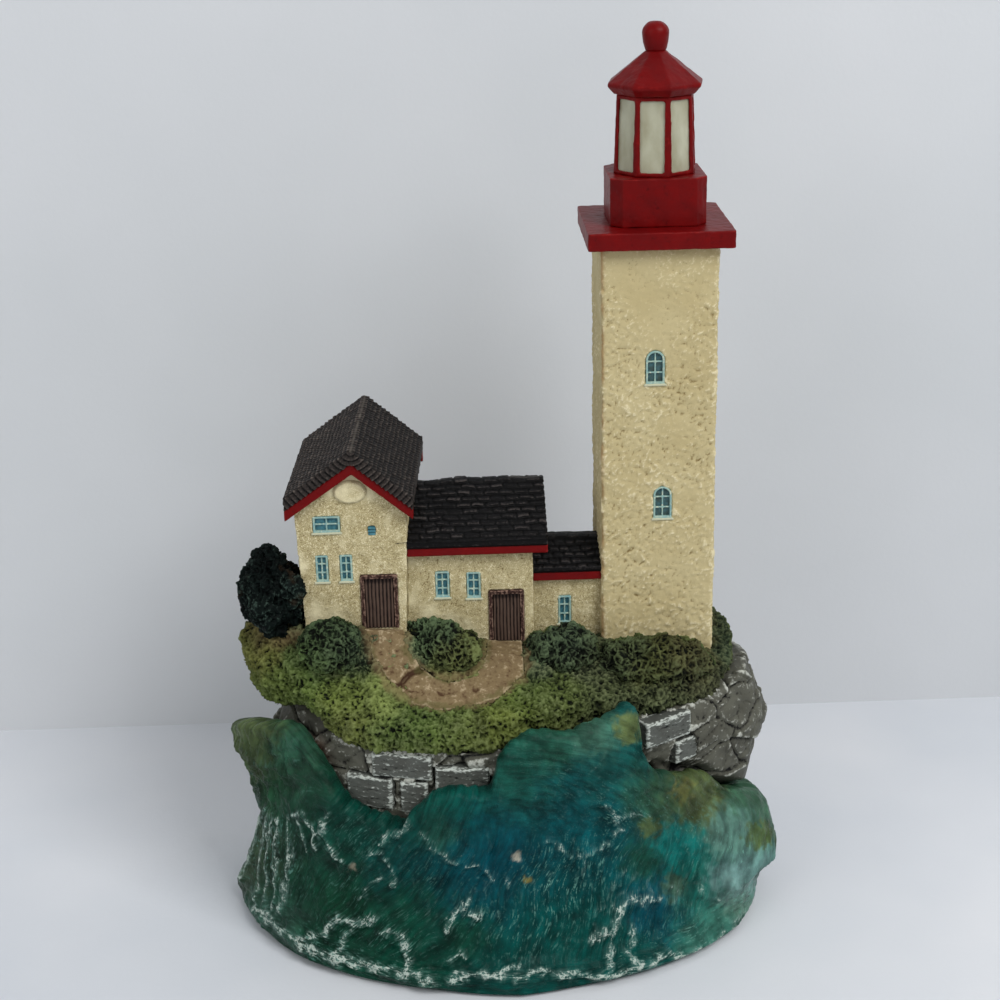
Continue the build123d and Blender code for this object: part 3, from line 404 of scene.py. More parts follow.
@dataclass(frozen=True)
class SeaResin:
    """Translucent tinted resin, dry-brushed along its flow, with foam on its ridges."""

    name: str = "wave_resin"
    foam: Colour = paint_colour(182, 194, 184)
    veil: Colour = paint_colour(132, 168, 158)
    brushed: Colour = paint_colour(112, 166, 152)
    roughness: float = 0.3
    depth: float = 1.2

    def material(self) -> bpy.types.Material:
        """The finish as a material."""
        bench = Bench(self.name, self.roughness)
        fall, arc, arcs = bench.tint("flow"), bench.tint("arc"), bench.channel("arcs")
        hair = bench.mix(arcs, bench.noise(0.32, 2, (1, 1, 5), fall), bench.noise(0.32, 2, (1, 5, 1), arc))
        band = bench.mix(arcs, bench.noise(1.1, 3, (1, 1, 7), fall), bench.noise(1.1, 3, (1, 7, 1), arc))
        specks = bench.noise(0.4, 4)
        cloud = bench.levels(bench.noise(4.5, 6), 0.34, 0.66, 0.62, 1.4)
        base = bench.mix(1.0, bench.tint("tint"), cloud, "MULTIPLY")
        base = bench.mix(1.0, base, bench.levels(band, 0.36, 0.64, 0.7, 1.25), "MULTIPLY")
        ridge = bench.levels(bench.channel("relief"), 0.3, 0.8, -0.07, 0.07)
        grip = bench.sum(bench.sum(hair, ridge), bench.levels(specks, 0.3, 0.7, -0.05, 0.05))
        broken = bench.levels(bench.noise(1.3, 3), 0.42, 0.6, 0.12, 1.0)
        strokes = bench.sum(bench.levels(grip, 0.56, 0.64), bench.channel("brushing"), "MULTIPLY")
        strokes = bench.sum(strokes, broken, "MULTIPLY")
        dots = bench.sum(bench.levels(specks, 0.66, 0.78), bench.channel("brushing"), "MULTIPLY")
        base = bench.mix(bench.sum(strokes, dots, "MAXIMUM"), base, self.brushed)
        foam = bench.channel("foam")
        haze = bench.sum(bench.levels(foam, 0.08, 0.9, 0.0, 0.66), bench.levels(hair, 0.36, 0.62), "MULTIPLY")
        base = bench.mix(haze, base, self.veil)
        middle = bench.sum(bench.noise(1.1, 3), 0.5, "SUBTRACT")
        threads = bench.levels(bench.sum(middle, middle, "MULTIPLY"), 0.0, 0.006, 0.22, -0.2)
        torn = bench.sum(bench.levels(specks, 0.3, 0.7, -0.16, 0.16), bench.levels(hair, 0.3, 0.7, -0.2, 0.24))
        edge = bench.levels(bench.sum(bench.sum(foam, torn), threads), 0.6, 1.02, 0.0, 0.94)
        bench.set(Base_Color=bench.mix(edge, base, self.foam), Specular_IOR_Level=0.08)
        bench.set(Subsurface_Weight=0.08, Subsurface_Radius=(0.6, 1.0, 0.9))
        bench.shader.inputs["Subsurface Scale"].default_value = self.depth * MM
        bench.set(Roughness=bench.levels(edge, 0.0, 1.0, self.roughness, 0.6))
        bench.grain(bench.sum(hair, specks), 0.16)
        return bench.material


@dataclass(frozen=True)
class LeafPaint:
    """Moss and leaves: black pores, a painted green and a pale dry brush over the ridges."""

    name: str
    pore: Colour = paint_colour(10, 14, 8)
    open_pores: tuple[float, float] = (0.36, 0.6)
    pale: Colour = paint_colour(150, 158, 116)

    def material(self) -> bpy.types.Material:
        """The finish as a material."""
        bench = Bench(self.name, 0.75)
        fine = bench.noise(0.45, 4)
        relief = bench.sum(bench.channel("relief"), bench.levels(fine, 0.25, 0.75, -0.15, 0.15))
        green = bench.tint("tint")
        shade = bench.mix(bench.levels(relief, *self.open_pores), self.pore, green)
        bright = bench.mix(bench.channel("dust"), bench.mix(1.0, green, (1.7, 1.7, 1.6), "MULTIPLY"), self.pale)
        colour = bench.mix(bench.levels(relief, 0.62, 1.0), shade, bright)
        colour = bench.mix(bench.channel("accent"), colour, paint_colour(128, 108, 78))
        bench.set(Base_Color=colour, Specular_IOR_Level=0.08)
        bench.grain(fine, 0.08)
        return bench.material


@dataclass(frozen=True)
class MilkyPane:
    """Lantern glazing: greenish-cream translucent resin."""

    name: str = "milky_pane"
    body: Colour = paint_colour(180, 180, 158)
    shade: Colour = paint_colour(148, 144, 118)

    def material(self) -> bpy.types.Material:
        """The finish as a material."""
        bench = Bench(self.name, 0.35)
        cloud = bench.levels(bench.noise(4.0, 3, (1, 1, 2)), 0.3, 0.7)
        bench.set(Base_Color=bench.mix(cloud, self.shade, self.body))
        bench.set(Subsurface_Weight=0.4, Subsurface_Radius=(1.0, 1.0, 0.8))
        bench.shader.inputs["Subsurface Scale"].default_value = 2 * MM
        bench.grain(bench.noise(1.2, 3), 0.05)
        return bench.material


@dataclass(frozen=True)
class StageFinish:
    """A pale wall or table top."""

    name: str
    body: Colour
    shade: Colour
    patch: float
    roughness: float = 0.6
    one_sided: bool = False

    def material(self) -> bpy.types.Material:
        """The finish as a material; a one-sided one lets rays from behind it through."""
        bench = Bench(self.name, self.roughness)
        cloud = bench.levels(bench.noise(self.patch, 3), 0.35, 0.7)
        bench.set(Base_Color=bench.mix(cloud, self.body, self.shade), Specular_IOR_Level=0.2)
        bench.grain(bench.noise(1.5, 4), 0.04)
        if self.one_sided:
            tree = bench.material.node_tree
            side, clear, blend = (
                tree.nodes.new(kind) for kind in ("ShaderNodeNewGeometry", "ShaderNodeBsdfTransparent", "ShaderNodeMixShader")
            )
            tree.links.new(side.outputs["Backfacing"], blend.inputs[0])
            tree.links.new(bench.shader.outputs[0], blend.inputs[1])
            tree.links.new(clear.outputs[0], blend.inputs[2])
            tree.links.new(blend.outputs[0], tree.nodes["Material Output"].inputs["Surface"])
        return bench.material


class Finish(Enum):
    """The figurine's paints and resins."""

    TOWER_STUCCO = BrushedPaint(
        "tower_stucco", paint_colour(126, 108, 68), paint_colour(190, 176, 134), paint_colour(218, 206, 168),
        paint_colour(178, 162, 118), stain_and_shade=paint_colour(158, 122, 78), wash_level=0.24, brush_level=0.74,
        drift_size=11.0, speckle=0.16, speckle_size=0.35, grain_depth=0.08, roughness=0.6, gloss=0.1,
    )
    HOUSE_STUCCO = BrushedPaint(
        "house_stucco", paint_colour(108, 92, 56), paint_colour(180, 167, 127), paint_colour(226, 216, 180),
        paint_colour(172, 158, 116), stain_and_shade=paint_colour(130, 116, 80), accent=paint_colour(226, 216, 178),
        wash_level=0.24, brush_level=0.76, speckle=0.6, speckle_size=0.24, drift_size=10.0, grain_depth=0.08,
        roughness=0.62, gloss=0.1,
    )
    KEEPER_SHINGLE = BrushedPaint(
        "keeper_shingle", paint_colour(8, 7, 7), paint_colour(52, 46, 43), paint_colour(92, 84, 78),
        paint_colour(44, 40, 38), stain_and_shade=paint_colour(14, 13, 13), accent=paint_colour(128, 120, 110), wash_level=0.36, brush_level=0.68,
        speckle=0.22, roughness=0.6, gloss=0.1,
    )
    STORE_SHINGLE = BrushedPaint(
        "store_shingle", paint_colour(2, 2, 2), paint_colour(13, 11, 12), paint_colour(62, 57, 55),
        paint_colour(8, 8, 8), accent=paint_colour(90, 86, 82), wash_level=0.38, brush_level=0.74,
        speckle=0.2, roughness=0.55, gloss=0.12,
    )
    RED = BrushedPaint(
        "oxide_red", paint_colour(40, 3, 4), paint_colour(106, 7, 8), paint_colour(128, 22, 20),
        paint_colour(88, 8, 10), accent=paint_colour(226, 206, 160), wash_level=0.3, brush_level=0.82,
        drift_size=4.0, speckle=0.12, speckle_size=0.8, grain_depth=0.05, roughness=0.38, gloss=0.1,
    )
    GREY_ROCK = BrushedPaint(
        "grey_rock", paint_colour(12, 12, 11), paint_colour(88, 88, 78), paint_colour(182, 184, 174),
        paint_colour(58, 57, 50), stain_and_shade=paint_colour(14, 13, 12), accent=paint_colour(86, 58, 46),
        wash_level=0.26, brush_level=0.86, speckle=0.2, speckle_size=0.6, drift_size=5.0, roughness=0.5, gloss=0.15,
    )
    QUAY_STONE = BrushedPaint(
        "quay_stone", paint_colour(14, 14, 13), paint_colour(88, 91, 86), paint_colour(186, 192, 184),
        paint_colour(68, 68, 63), stain_and_shade=paint_colour(10, 9, 9), accent=paint_colour(86, 58, 46),
        wash_level=0.2, brush_level=0.86, speckle=0.32, speckle_size=0.26, drift_size=4.0, roughness=0.5,
        gloss=0.12, strokes=(3.0, 3.0, 1.0),
    )
    MOSS = LeafPaint("moss_turf")
    BUSH = LeafPaint("bush_leaf", open_pores=(0.44, 0.72), pale=paint_colour(110, 128, 94))
    TREE = BrushedPaint(
        "tree_leaf", paint_colour(2, 3, 3), paint_colour(12, 20, 18), paint_colour(60, 76, 68),
        paint_colour(6, 10, 10), stain_and_shade=paint_colour(62, 48, 34), wash_level=0.54, brush_level=0.98,
        drift_size=5.0, speckle=0.2, roughness=0.6, gloss=0.05,
    )
    SAND = BrushedPaint(
        "trodden_sand", paint_colour(82, 60, 42), paint_colour(128, 110, 80), paint_colour(172, 154, 124),
        paint_colour(116, 98, 72), stain_and_shade=paint_colour(52, 32, 22), accent=paint_colour(86, 86, 48),
        wash_level=0.34, brush_level=0.74, drift_size=4.0, speckle=0.2, roughness=0.75, gloss=0.1,
    )
    PLANKS = BrushedPaint(
        "dark_planks", paint_colour(14, 7, 7), paint_colour(88, 71, 61), paint_colour(134, 116, 100),
        paint_colour(84, 66, 58), stain_and_shade=paint_colour(16, 8, 8), wash_level=0.36, brush_level=0.8,
        drift_size=3.0, speckle=0.24, speckle_size=0.5, roughness=0.6, gloss=0.12, strokes=(1.0, 1.0, 4.0),
    )
    DOOR_FRAME = BrushedPaint(
        "door_frame", paint_colour(16, 8, 8), paint_colour(58, 38, 33), paint_colour(132, 106, 92),
        paint_colour(36, 22, 20), wash_level=0.36, brush_level=0.68, speckle=0.24, roughness=0.6, gloss=0.12,
    )
    CREAM = BrushedPaint(
        "cream_bars", paint_colour(100, 134, 130), paint_colour(152, 176, 162), paint_colour(204, 208, 184),
        paint_colour(110, 156, 162), accent=paint_colour(198, 192, 160), wash_level=0.3, brush_level=0.8,
        drift_size=1.6, drift_share=0.8,
        speckle=0.25, roughness=0.5, gloss=0.15,
    )
    BLUE = BrushedPaint(
        "turquoise_panes", paint_colour(34, 74, 82), paint_colour(78, 130, 142), paint_colour(122, 168, 172),
        paint_colour(44, 92, 104), stain_and_shade=paint_colour(62, 62, 44), wash_level=0.36, brush_level=0.8,
        drift_size=1.4, drift_share=0.9, speckle=0.25, roughness=0.4, gloss=0.2,
    )
    FELT = BrushedPaint(
        "green_felt", paint_colour(16, 34, 24), paint_colour(30, 62, 42), paint_colour(48, 84, 60),
        paint_colour(26, 54, 40), speckle_size=0.3, speckle=0.3, grain_depth=0.15, roughness=0.95, gloss=0.1,
    )
    SEA = SeaResin()
    PANE = MilkyPane()

    def material(self) -> bpy.types.Material:
        """The finish's material, made the first time that it is asked for."""
        found = bpy.data.materials.get(self.value.name)
        return found or self.value.material()


class Casting:
    """A closed skin of fine faces that takes relief and paint."""

    def __init__(self, name: str, mesh: bpy.types.Mesh) -> None:
        """Args:
        name: the piece's name.
        mesh: its skin, in metres.
        """
        self.name = name
        self.mesh = mesh
        self.refresh()

    def refresh(self) -> None:
        """Reads the places, in millimetres, and the normals of the skin's points."""
        count = len(self.mesh.vertices)
        places = np.empty(count * 3, np.float32)
        self.mesh.vertices.foreach_get("co", places)
        self.at = places.reshape(-1, 3).astype(float) / MM
        normals = np.empty(count * 3, np.float32)
        self.mesh.vertex_normals.foreach_get("vector", normals)
        self.facing = normals.reshape(-1, 3).astype(float)

    def press(self, heights: Array) -> None:
        """Moves the points out along their normals by heights in millimetres."""
        self.shift(self.facing * heights[:, None])

    def shift(self, steps: Array) -> None:
        """Moves the points by steps in millimetres."""
        moved = (self.at + steps) * MM
        self.mesh.vertices.foreach_set("co", moved.astype(np.float32).ravel())
        self.mesh.update()
        self.refresh()

    def channel(self, name: str, values: Array) -> None:
        """Paints one number a point, held between 0 and 1."""
        layer = self.mesh.attributes.new(name, "FLOAT", "POINT")
        layer.data.foreach_set("value", np.clip(values, 0, 1).astype(np.float32))

    def vectors(self, name: str, values: Array) -> None:
        """Paints three numbers a point."""
        layer = self.mesh.attributes.new(name, "FLOAT_VECTOR", "POINT")
        layer.data.foreach_set("vector", values.astype(np.float32).ravel())

    def bulge(self, rounds: int = 6) -> Array:
        """How far each point stands out from its softened surroundings, in millimetres."""
        pairs = np.empty(len(self.mesh.edges) * 2, np.int32)
        self.mesh.edges.foreach_get("vertices", pairs)
        first, second = pairs.reshape(-1, 2).T
        count = len(self.at)
        ends = np.bincount(first, minlength=count) + np.bincount(second, minlength=count)
        soft = self.at.copy()
        for _ in range(rounds):
            sums = [
                np.bincount(first, soft[second, k], count) + np.bincount(second, soft[first, k], count)
                for k in range(3)
            ]
            soft = np.stack(sums, axis=1) / ends[:, None]
        return ((self.at - soft) * self.facing).sum(axis=1)

    def relief(self, heights: Array, spread: float | None = None, edge: float = 0.0) -> None:
        """Presses heights and paints them as relief, with their mean at a half.

        Args:
            heights: millimetres out from the skin.
            spread: height from the mean that paints as full relief.
            edge: how much a tenth of a millimetre of bulge adds, for worn edges and dark creases.
        """
        self.press(heights)
        reach = spread or 2.2 * float(heights.std() + 1e-9)
        value = 0.5 + 0.5 * (heights - float(heights.mean())) / reach
        if edge:
            value += edge * self.bulge() / 0.1
        self.channel("relief", value)

    def deliver(self, finish: Finish, slot: str, nodes: Sequence[str]) -> bpy.types.Object:
        """Makes the piece's object, dressed, riding on the body, in place of its nodes."""
        self.mesh.materials.clear()
        self.mesh.materials.append(finish.material())
        self.mesh.shade_smooth()
        piece = bpy.data.objects.new(self.name, self.mesh)
        bpy.context.collection.objects.link(piece)
        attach(piece, "root")
        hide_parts(*nodes)
        LOG.info("%s: %d faces", self.name, len(self.mesh.polygons))
        return piece


@dataclass
class Workshop:
    """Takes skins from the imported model's nodes."""

    frame: dict[str, Any]
    coarse: float = 1.0

    def skin(self, nodes: Sequence[str]) -> bpy.types.Mesh:
        """The nodes' own faces in one new mesh."""
        joined = bmesh.new()
        for node in nodes:
            joined.from_mesh(self.frame["nodes"][node].data)
        bmesh.ops.remove_doubles(joined, verts=joined.verts, dist=1e-7)
        mesh = bpy.data.meshes.new("skin")
        joined.to_mesh(mesh)
        joined.free()
        return mesh

    def cast(self, name: str, nodes: Sequence[str], voxel: float, rounds: int = 0) -> Casting:
        """A fine skin over nodes, with its facets smoothed.

        Args:
            name: the piece's name.
            nodes: the nodes that it covers.
            voxel: size of its faces in millimetres.
            rounds: times that it is smoothed.

        Returns:
            The casting, ready for relief.
        """
        blank = bpy.data.objects.new("blank", self.skin(nodes))
        bpy.context.collection.objects.link(blank)
        remesh = blank.modifiers.new("fine", "REMESH")
        remesh.mode = "VOXEL"
        remesh.voxel_size = voxel * MM * self.coarse
        if rounds:
            smooth = blank.modifiers.new("soft", "SMOOTH")
            smooth.factor = 0.5
            smooth.iterations = rounds
        ready = blank.evaluated_get(bpy.context.evaluated_depsgraph_get())
        mesh = bpy.data.meshes.new_from_object(ready)
        mesh.name = name
        old = blank.data
        bpy.data.objects.remove(blank)
        bpy.data.meshes.remove(old)
        return Casting(name, mesh)

    def tree_of(self, nodes: Sequence[str]) -> BVHTree:
        """The nodes' faces, in metres, for finding what is near."""
        mesh = self.skin(nodes)
        faces = [tuple(face.vertices) for face in mesh.polygons]
        found = BVHTree.FromPolygons([vertex.co.copy() for vertex in mesh.vertices], faces)
        bpy.data.meshes.remove(mesh)
        return found


@dataclass
class Studio:
    """A pale wall and table top, soft light and the camera."""

    wall_y: float = 95.0
    table_half: float = 900.0
    wall_height: float = 1500.0
    world_level: float = 0.42
    key_power: float = 10.0
    fill_power: float = 3.0

    def build(self) -> None:
        """Sets the stage, the lights and the camera."""
        half, back = self.table_half * MM, self.wall_y * MM
        table = StageFinish("table_top", paint_colour(208, 212, 218), paint_colour(220, 222, 226), 90.0, 0.45)
        wall = StageFinish("wall_paint", paint_colour(203, 206, 209), paint_colour(212, 214, 217), 120.0, one_sided=True)
        self._sheet("table", table, [(-half, half), (-half, -half), (half, -half), (half, half)], 0.0)
        self._wall(wall, half, back)
        world = bpy.data.worlds.new("soft_daylight")
        world.use_nodes = True
        sky = world.node_tree.nodes["Background"]
        sky.inputs["Color"].default_value = (0.97, 0.985, 1.0, 1.0)
        sky.inputs["Strength"].default_value = self.world_level
        bpy.context.scene.world = world
        self._lamp("key_light", (0.55, -0.7, 0.95), self.key_power, 0.6)
        self._lamp("fill_light", (-0.8, -0.7, 0.6), self.fill_power, 0.9)
        bpy.context.scene.camera = EYE.camera()
        bpy.context.scene.view_settings.view_transform = "Standard"

    def _sheet(self, name: str, finish: StageFinish, outline: list[tuple[float, float]], height: float) -> None:
        """One level sheet of the stage."""
        mesh = bpy.data.meshes.new(name)
        mesh.from_pydata([(x, y, height) for x, y in outline], [], [tuple(range(len(outline)))])
        self._stand(name, mesh, finish)

    def _wall(self, finish: StageFinish, half: float, back: float) -> None:
        """The upright wall behind the table."""
        tall = self.wall_height * MM
        mesh = bpy.data.meshes.new("wall")
        mesh.from_pydata([(-half, back, 0), (half, back, 0), (half, back, tall), (-half, back, tall)], [], [(0, 1, 2, 3)])
        self._stand("wall", mesh, finish)

    def _stand(self, name: str, mesh: bpy.types.Mesh, finish: StageFinish) -> None:
        """Puts a stage mesh in the scene."""
        sheet = bpy.data.objects.new(name, mesh)
        mesh.materials.append(finish.material())
        bpy.context.collection.objects.link(sheet)

    def _lamp(self, name: str, place: tuple[float, float, float], power: float, size: float) -> None:
        """A wide square lamp that faces the figurine."""
        light = bpy.data.lights.new(name, "AREA")
        light.energy, light.size = power, size
        lamp = bpy.data.objects.new(name, light)
        lamp.location = place
        lamp.rotation_euler = (Vector((0, 0, 0.1)) - Vector(place)).to_track_quat("-Z", "Y").to_euler()
        bpy.context.collection.objects.link(lamp)


@dataclass
class Stuccowork:
    """Rendered walls: the tower's coarse trowelling and the houses' sandy coat."""

    tower_voxel: float = 0.37
    house_voxel: float = 0.3
    trowel_depth: float = 0.26
    sand_depth: float = 0.1
    # Pale worn plaster on the houses' fronts: pixel and reach in pixels.
    plaster: tuple[tuple[float, float, float], ...] = (
        (349, 478, 13), (331, 490, 8), (367, 492, 8), (409, 560, 6), (409, 600, 7), (316, 615, 9), (337, 618, 10),
        (382, 627, 9), (300, 566, 7), (430, 612, 9), (450, 624, 10), (470, 637, 10), (488, 648, 8),
    )

    def build(self, shop: Workshop) -> None:
        """Casts every wall."""
        self._tower(shop)
        for house in ("keeper", "store", "link"):
            self._house(shop, house)
        oval = shop.cast("keeper_medallion_cast", ["keeper_medallion"], 0.2, 4)
        oval.relief(self.sand_depth * GRAIN.layered(oval.at, 0.9, 3), self.sand_depth * 2)
        oval.channel("accent", 0.55 + 0.5 * GRAIN.layered(oval.at + 8, 2.5, 2))
        oval.deliver(Finish.HOUSE_STUCCO, "stucco", ["keeper_medallion"])

    def _tower(self, shop: Workshop) -> None:
        """The shaft: worm-like trowel marks, pits, worn corners and painted shade under the gallery slab."""
        cast = shop.cast("tower_shaft_cast", ["tower_shaft"], self.tower_voxel, 2)
        bend = np.stack([GRAIN.smooth(cast.at + 40 * k, 2.2) for k in (1, 2, 3)], axis=1)
        lumps = GRAIN.layered(cast.at + 0.8 * bend, (1.0, 1.0, 1.1), 2, 0.7)
        worms = GRAIN.ridged(cast.at + 0.9 * bend, (1.3, 1.3, 0.8), 2) - 0.7
        near, _, lot = GRAIN.cells(cast.at + 0.5 * bend, 1.7)
        pits = ease(-near, -0.34, -0.1) * (lot > 0.55)
        swell = GRAIN.layered(cast.at, 8.0, 2)
        low, high = cast.at.min(axis=0), cast.at.max(axis=0)
        smooth = ease(GRAIN.smooth(cast.at + 200, 8.0) + 0.5 * ease(cast.at[:, 2], high[2] - 22, high[2] - 6), 0.0, 0.7)
        coat = (1 - 0.5 * smooth) * (0.8 * lumps + 1.0 * worms) - 0.2 * pits
        corner = np.exp(-(((cast.at[:, 0] - low[0]) / 0.5) ** 2)) * np.exp(-(((cast.at[:, 1] - low[1]) / 0.8) ** 2))
        cast.relief(self.trowel_depth * (1.8 * coat + 1.1 * swell), self.trowel_depth * 3.4, 0.12)
        # Painted shade along the top of the shaft, under the gallery slab.
        under = ease(cast.at[:, 2], high[2] - 3.0, high[2]) * 0.25
        foot = 0.35 * ease(-cast.at[:, 2], -low[2] - 14.0, -low[2] - 5.0) * GRAIN.ridged(cast.at, 4.0, 2)
        cast.channel("stain_and_shade", 0.95 * corner * ease(GRAIN.smooth(cast.at, 4.0), -0.6, 0.2) + under + foot)
        cast.deliver(Finish.TOWER_STUCCO, "stucco", ["tower_shaft"])

    def _house(self, shop: Workshop, house: str) -> None:
        """A house's walls: fine sand, broader brush marks, painted shade under the eaves and pale worn plaster."""
        node = f"{house}_walls"
        cast = shop.cast(f"{node}_cast", [node], self.house_voxel, 2)
        sand = GRAIN.layered(cast.at, 0.7, 2)
        swell = GRAIN.layered(cast.at + 9, 3.5, 3)
        cast.relief(self.sand_depth * (sand * 1.5 + swell * 1.6), self.sand_depth * 5.0, 0.15)
        low, high = cast.at.min(axis=0), cast.at.max(axis=0)
        patch = GRAIN.layered(cast.at + 50, 6.0, 3)
        # Painted shade under the eaves, broken into patches.
        eave_shade = ease(patch, 0.0, 0.6) * ease(cast.at[:, 2], high[2] - 24, high[2] - 6)
        cast.channel("stain_and_shade", 0.3 * eave_shade + 0.2 * ease(GRAIN.layered(cast.at + 130, 5.0, 2), 0.1, 0.6))
        worn = ease(GRAIN.layered(cast.at + 80, 4.0, 3), 0.15, 0.5)
        foot = ease(-cast.at[:, 2], -low[2] - 13.0, -low[2] - 7.0)
        ends = np.exp(-(((cast.at[:, 0] - low[0]) / 1.2) ** 2)) + np.exp(-(((high[0] - cast.at[:, 0]) / 1.2) ** 2))
        pixels = EYE.pixels(cast.at) + 5.0 * np.stack([GRAIN.layered(cast.at + 9 * k, 3.0, 3) for k in (1, 2)], axis=1)
        pale = sum(np.exp(-((pixels - (x, y)) ** 2).sum(axis=1) / r**2) for x, y, r in self.plaster)
        front = pale * ease(-cast.facing[:, 1], 0.2, 0.6)
        cast.channel("accent", np.clip(worn * np.clip(0.3 + foot + 0.6 * ends, 0, 0.9) + 0.8 * front, 0, 0.95))
        cast.deliver(Finish.HOUSE_STUCCO, "stucco", [node])


@dataclass
class Roofwork:
    """Shingled roofs and their painted boards."""

    voxel: float = 0.24
    lift: float = 0.5
    joint: float = 0.34
    keeper_width: float = 1.5
    keeper_courses: int = 14
    store_width: float = 3.4
    store_courses: int = 11
    link_width: float = 2.6
    link_courses: int = 6

    def _tiles(self, cast: Casting, up: Array, along: Array, course: float, width: float) -> Array:
        """Relief of one slope's shingles in half bond.

        Args:
            cast: the roof's skin.
            up: distance up the slope from the eave.
            along: distance along the ridge.
            course: height of a course.
            width: width of a shingle.

        Returns:
            Heights from 0 to 1, a joint at 0 and a butt at 1.
        """
        wander = 0.2 * GRAIN.smooth(cast.at, 3.0)
        row = np.floor(up / course + wander)
        rise = up / course + wander - row
        still = np.zeros(len(row))
        laid = 0.5 * (row % 2) + 0.4 * GRAIN.smooth(np.stack((row * 5.37, still, still), axis=1), 1.0)
        shifted = along / width + laid + 0.14 * GRAIN.smooth(cast.at + 5, 2.0)
        column = np.floor(shifted)
        across = shifted - column
        spot = np.stack((row * 7.13, column * 3.71, still), axis=1)
        lot = GRAIN.smooth(spot, 1.0)
        butt = (1 - 0.8 * rise) * ease(rise, 0.0, 0.22)
        gap = np.minimum(across, 1 - across) * width
        return np.clip(butt * ease(gap, 0.0, self.joint) * (0.85 + 0.45 * lot), 0, 1.2)

    def build(self, shop: Workshop) -> None:
        """Casts the roofs, bargeboards and fascias."""
        self._keeper(shop)
        self._eaves(shop, "store", self.store_courses, self.store_width, 1.0)
        self._eaves(shop, "link", self.link_courses, self.link_width, 0.5)
        for node in ("keeper_bargeboards", "store_fascia", "link_fascia"):
            cast = shop.cast(f"{node}_cast", [node], 0.26, 3)
            cast.relief(0.08 * GRAIN.layered(cast.at, 2.0, 3), 0.18, 0.2)
            cast.deliver(Finish.RED, "red_paint", [node])

    def _finish(self, cast: Casting, tiles: Array, ends: Array, top: Array, ridge: Array, finish: Finish, node: str) -> None:
        """Presses the shingles and their ends, and paints the ridge's worn line."""
        rough = GRAIN.layered(cast.at, 0.8, 2)
        heights = np.where(top, self.lift * (tiles - 0.45), 0.45 * (ends - 0.5)) + 0.07 * rough
        cast.press(heights)
        cast.channel("relief", np.where(top, 0.1 + 0.8 * tiles, 0.1 + 0.6 * ends) + 0.8 * cast.bulge(4))
        cast.channel("accent", 0.7 * ridge)
        cast.deliver(finish, "shingles", [node])

    def _keeper(self, shop: Workshop) -> None:
        """The keeper's roof, with its ridge running to the back and right."""
        cast = shop.cast("keeper_roof_cast", ["keeper_roof"], self.voxel, 4)
        low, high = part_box("keeper_roof")
        front, back = low.y / MM, high.y / MM
        share = (cast.at[:, 1] - front) / (back - front)
        ridge_x = -29.9 + 2.1 * share
        ridge_z = 120.4 + 1.0 * share
        away = np.hypot(cast.at[:, 0] - ridge_x, np.maximum(ridge_z - cast.at[:, 2], 0))
        slope = 17.6 / self.keeper_courses
        tiles = self._tiles(cast, 17.6 - away, cast.at[:, 1], slope, self.keeper_width)
        top = cast.facing[:, 2] > 0.35
        ridge = np.exp(-((away / 0.3) ** 2)) * top * (0.6 + 0.5 * GRAIN.smooth(cast.at, 2.5))
        # Darker on the slope that faces right.
        cast.channel("stain_and_shade", 0.45 * ease(cast.facing[:, 0], 0.1, 0.5) * top)
        self._finish(cast, tiles, self._ends(17.6 - away, slope), top, ridge, Finish.KEEPER_SHINGLE, "keeper_roof")

    def _ends(self, up: Array, course: float) -> Array:
        """The courses' ends, seen along a gable: 1 at a butt, 0 in the gap under the next."""
        rise = up / course - np.floor(up / course)
        return (1 - 0.8 * rise) * ease(rise, 0.0, 0.25)

    def _eaves(self, shop: Workshop, house: str, courses: int, width: float, sag: float) -> None:
        """A roof with its ridge from left to right."""
        node = f"{house}_roof"
        cast = shop.cast(f"{node}_cast", [node], self.voxel, 3)
        low, high = (np.array(corner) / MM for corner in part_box(node))
        middle = (low[1] + high[1]) / 2
        wave = GRAIN.smooth(np.stack((cast.at[:, 0], np.zeros(len(cast.at)), np.zeros(len(cast.at))), axis=1), 9.0)
        nearby = ease(-np.abs(cast.at[:, 1] - middle), -9.0, 0.0)
        cast.shift(np.stack((0 * wave, 0 * wave, sag * wave * nearby), axis=1))
        away = np.hypot(cast.at[:, 1] - middle, np.maximum(high[2] - cast.at[:, 2], 0))
        slope = math.hypot((high[1] - low[1]) / 2, high[2] - low[2])
        tiles = self._tiles(cast, slope - away, cast.at[:, 0], slope / courses, width)
        top = cast.facing[:, 2] > 0.35
        ridge = np.exp(-((away / 0.4) ** 2)) * top * ease(GRAIN.smooth(cast.at, 4.0), -0.3, 0.4)
        self._finish(cast, tiles, self._ends(slope - away, slope / courses), top, ridge, Finish.STORE_SHINGLE, node)


